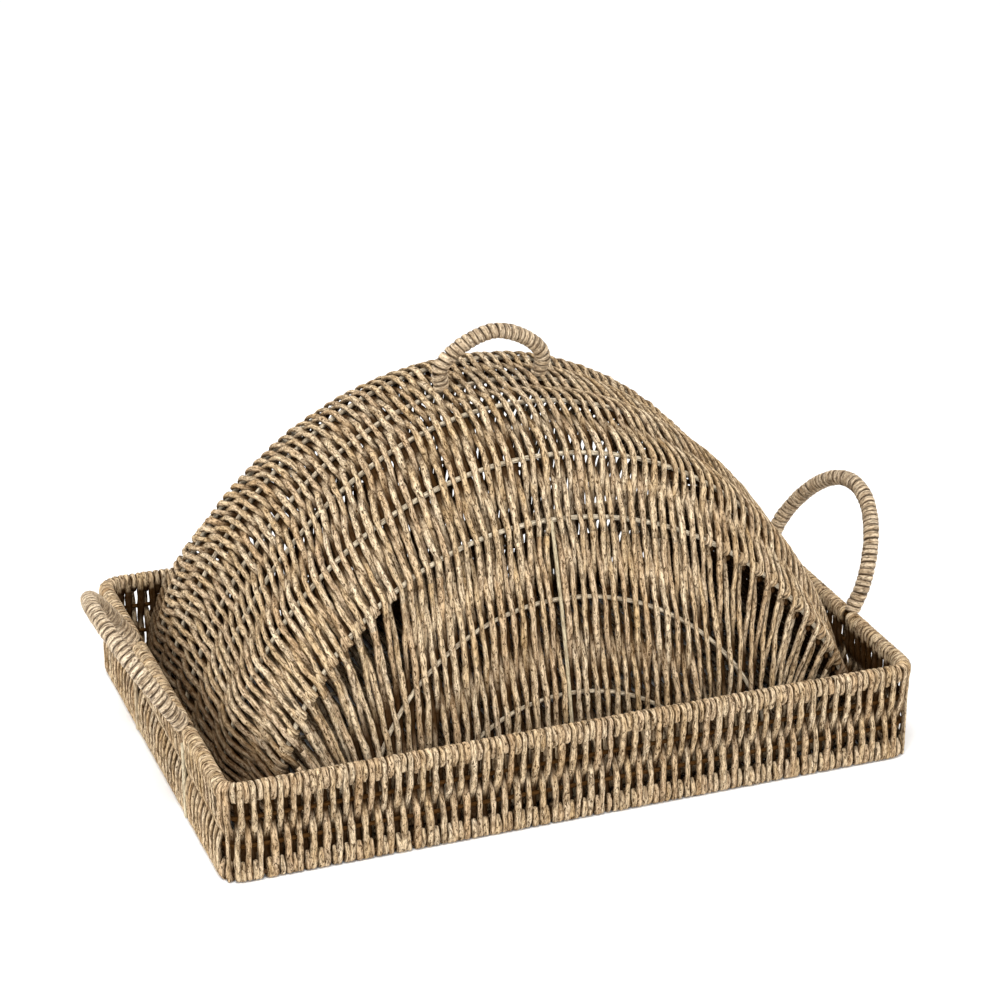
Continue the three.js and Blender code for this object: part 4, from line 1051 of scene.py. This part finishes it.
def build_cover_base():
    """The base rod, through the feet of the arches, with its corners cut."""
    feet = [arch.points[-1] for arch in arches[::-1]] + [arch.points[0] for arch in arches]
    points = []
    for i, foot in enumerate(feet):
        for neighbour in (feet[i - 1], feet[(i + 1) % len(feet)]):
            points.append(foot + COVER_CORNER_CUT * unit(neighbour - foot))
    points.append(points[0])
    points = np.array(points)
    points[:, 2] = COVER_ROD_HEIGHT
    cover_rod("round_cover_base_rod", "cover_base_rod", points, UP, WIRE_RADIUS, ends=False)


def build_cover_rods():
    kept = np.linspace(0, ARCH_SAMPLES, ARCH_PIECES + 1).astype(int)
    for arch, name in zip(arches, ARCH_NAMES):
        cover_rod(f"round_{name}", f"cover_{name}", arch.points[kept], BACKWARD, ARCH_RADIUS,
                  material=arch_straw)
    for side, end in ((-1, "front"), (1, "back")):
        build_end_rods(side, end)
    build_cover_base()


# Handles
def bezier(p0, p1, p2, p3):
    t = np.linspace(0, 1, LOOP_SAMPLES)[:, None]
    return (1 - t)**3 * p0 + 3 * (1 - t)**2 * t * p1 + 3 * (1 - t) * t**2 * p2 + t**3 * p3


def loop_path(feet, legs, leg_length, apex, across, leg_pull, crown_pull):
    """A handle's centre line from foot to foot, straight in its legs, and the reach along it."""
    tops = [foot + leg * leg_length for foot, leg in zip(feet, legs)]
    halves = [bezier(tops[i], tops[i] + legs[i] * leg_pull, apex + across * direction * crown_pull, apex)
              for i, direction in ((0, -1), (1, 1))]
    lines = [np.linspace(feet[i], tops[i], LEG_SAMPLES) for i in (0, 1)]
    path = np.vstack([lines[0][:-1], halves[0], halves[1][::-1][1:], lines[1][::-1][1:]])
    return path, reaches_along(path)


def winding(path, reach, plane_normal, start, outer, turns):
    """One strip wound round a handle, with turns of uneven width."""
    pitches = rng.uniform(*PITCH_RANGE, turns)
    edges = np.concatenate([[0], np.cumsum(pitches)]) / pitches.sum()
    length = reach[-1] - 2 * start
    phases = np.linspace(0, turns, turns * STEPS_PER_TURN + 1)
    s = start + length * np.interp(phases, np.arange(turns + 1), edges)
    tangent = unit(between(s, reach, unit(np.gradient(path, axis=0))))
    side = np.cross(tangent, plane_normal)
    angle = 2 * math.pi * phases[:, None]
    radial = side * np.sin(angle) + plane_normal * np.cos(angle)
    pitch = length * np.interp(phases, np.arange(turns) + 0.5, pitches) / pitches.sum()
    swell = STRIP_SWELL * np.interp(phases, np.arange(turns), rng.uniform(-1, 1, turns))
    at = between(s, reach, path) + radial * (outer - STRIP_HALF_THICKNESS + swell)[:, None]
    flat = np.full(len(s), STRIP_HALF_THICKNESS)
    rows = np.column_stack([at, radial, STRIP_COVERAGE * pitch, flat, np.zeros(len(s))])
    return rounded_ends(rows)


def build_side_handle(side, name, angle):
    lean = np.array([side * math.cos(angle), 0, math.sin(angle)])
    rim = np.array([side * WALL_LINE_X, SIDE_HANDLE_SHIFT, RIM_HEIGHT])
    feet = [rim + BACKWARD * end * SIDE_HANDLE_HALF_SPAN for end in (-1, 1)]
    leg_length = RIM_RADIUS + 2 * SIDE_WINDING_RADIUS
    path, reach = loop_path(feet, [lean, lean], leg_length, rim + lean * SIDE_HANDLE_REACH, BACKWARD,
                            SIDE_HANDLE_LEG_PULL * (SIDE_HANDLE_REACH - leg_length),
                            SIDE_HANDLE_CROWN_PULL * SIDE_HANDLE_HALF_SPAN)
    rows = winding(path, reach, np.cross(lean, BACKWARD), RIM_RADIUS,
                   SIDE_WINDING_RADIUS + SIDE_STRIP_RISE, SIDE_TURNS)
    piece(f"wound_handle_{name}", [rows], winding_straw, "tray", [f"handle_{name}_winding"])


def build_top_handle():
    centre = arches[ARCH_NAMES.index("centre_arch")].points
    lean = np.array([0, -math.sin(TOP_HANDLE_LEAN), math.cos(TOP_HANDLE_LEAN)])
    plane_normal = np.array([0, math.cos(TOP_HANDLE_LEAN), math.sin(TOP_HANDLE_LEAN)])
    feet, legs = [], []
    for end in (-1, 1):
        i = int(np.argmin(np.abs(centre[:, 0] - (TOP_HANDLE_SHIFT + end * TOP_HANDLE_HALF_SPAN))))
        slope = unit(centre[i + 2] - centre[i - 2])
        feet.append(centre[i])
        legs.append(np.array([-slope[2], 0, 0]) + slope[0] * lean)
    apex = np.array([TOP_HANDLE_SHIFT, 0, COVER_ROD_HEIGHT + CENTRE_ARCH_RISE]) + lean * TOP_HANDLE_REACH
    path, reach = loop_path(feet, legs, LAYER_FAR + 2 * TOP_WINDING_RADIUS, apex, LENGTHWISE,
                            TOP_HANDLE_LEG_PULL * TOP_HANDLE_HALF_SPAN,
                            TOP_HANDLE_CROWN_PULL * TOP_HANDLE_HALF_SPAN)
    rows = winding(path, reach, plane_normal, LAYER_FAR - TOP_WINDING_SINK,
                   TOP_WINDING_RADIUS + TOP_STRIP_RISE, TOP_TURNS)
    piece("wound_cover_handle", [rows], winding_straw, "cover", ["cover_handle_winding"],
          shift=COVER_SHIFT)


def colour_cores():
    for node in ("handle_left_core", "handle_right_core", "cover_handle_core"):
        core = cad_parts[node]
        for slot in core.material_slots:
            slot.material = core_straw
        if not len(core.data.materials):
            core.data.materials.append(core_straw)


# Studio and camera
def aim(direction):
    return Vector(direction).to_track_quat("-Z", "Y").to_euler()


def build_studio():
    floor_mesh = bpy.data.meshes.new("floor")
    corners = [(x * FLOOR_REACH, y * FLOOR_REACH, 0) for x, y in ((-1, -1), (1, -1), (1, 1), (-1, 1))]
    floor_mesh.from_pydata(corners, [], [(0, 1, 2, 3)])
    floor = bpy.data.objects.new("studio_floor", floor_mesh)
    bpy.context.scene.collection.objects.link(floor)
    paint = bpy.data.materials.new("studio_floor")
    paint.use_nodes = True
    shader = paint.node_tree.nodes["Principled BSDF"]
    shader.inputs["Base Color"].default_value = (FLOOR_WHITE, FLOOR_WHITE, FLOOR_WHITE, 1)
    shader.inputs["Roughness"].default_value = FLOOR_ROUGHNESS
    floor_mesh.materials.append(paint)

    world = bpy.data.worlds.new("studio")
    bpy.context.scene.world = world
    world.use_nodes = True
    sky = world.node_tree.nodes["Background"]
    sky.inputs["Color"].default_value = (1, 1, 1, 1)
    sky.inputs["Strength"].default_value = WORLD_STRENGTH
    bpy.context.scene.view_settings.view_transform = "Standard"

    for name, (place, size, power) in LIGHTS.items():
        light = bpy.data.lights.new(name, "AREA")
        light.size = size
        light.energy = power
        lamp = bpy.data.objects.new(name, light)
        bpy.context.scene.collection.objects.link(lamp)
        lamp.location = place
        lamp.rotation_euler = aim(np.array(LIGHT_TARGET) - np.array(place))


def build_camera():
    back = np.array([math.sin(CAMERA_AZIMUTH) * math.cos(CAMERA_ELEVATION),
                     -math.cos(CAMERA_AZIMUTH) * math.cos(CAMERA_ELEVATION), math.sin(CAMERA_ELEVATION)])
    right = np.array([math.cos(CAMERA_AZIMUTH), math.sin(CAMERA_AZIMUTH), 0])
    up = np.cross(back, right)
    data = bpy.data.cameras.new("camera")
    data.sensor_width = SENSOR_WIDTH
    data.lens = CAMERA_FOCUS / FRAME_WIDTH * SENSOR_WIDTH
    data.clip_end = CAMERA_CLIP
    camera = bpy.data.objects.new("camera", data)
    bpy.context.scene.collection.objects.link(camera)
    camera.location = (back * CAMERA_DISTANCE + right * CAMERA_ASIDE + up * CAMERA_ABOVE) * MM
    camera.rotation_euler = aim(-back)
    bpy.context.scene.camera = camera


build_camera()
build_studio()
build_tray_walls()
build_tray_floor()
build_tray_rods()
build_cover_weave()
build_cover_rods()
build_side_handle(-1, "left", LEFT_HANDLE_LEAN)
build_side_handle(1, "right", RIGHT_HANDLE_LEAN)
build_top_handle()
colour_cores()
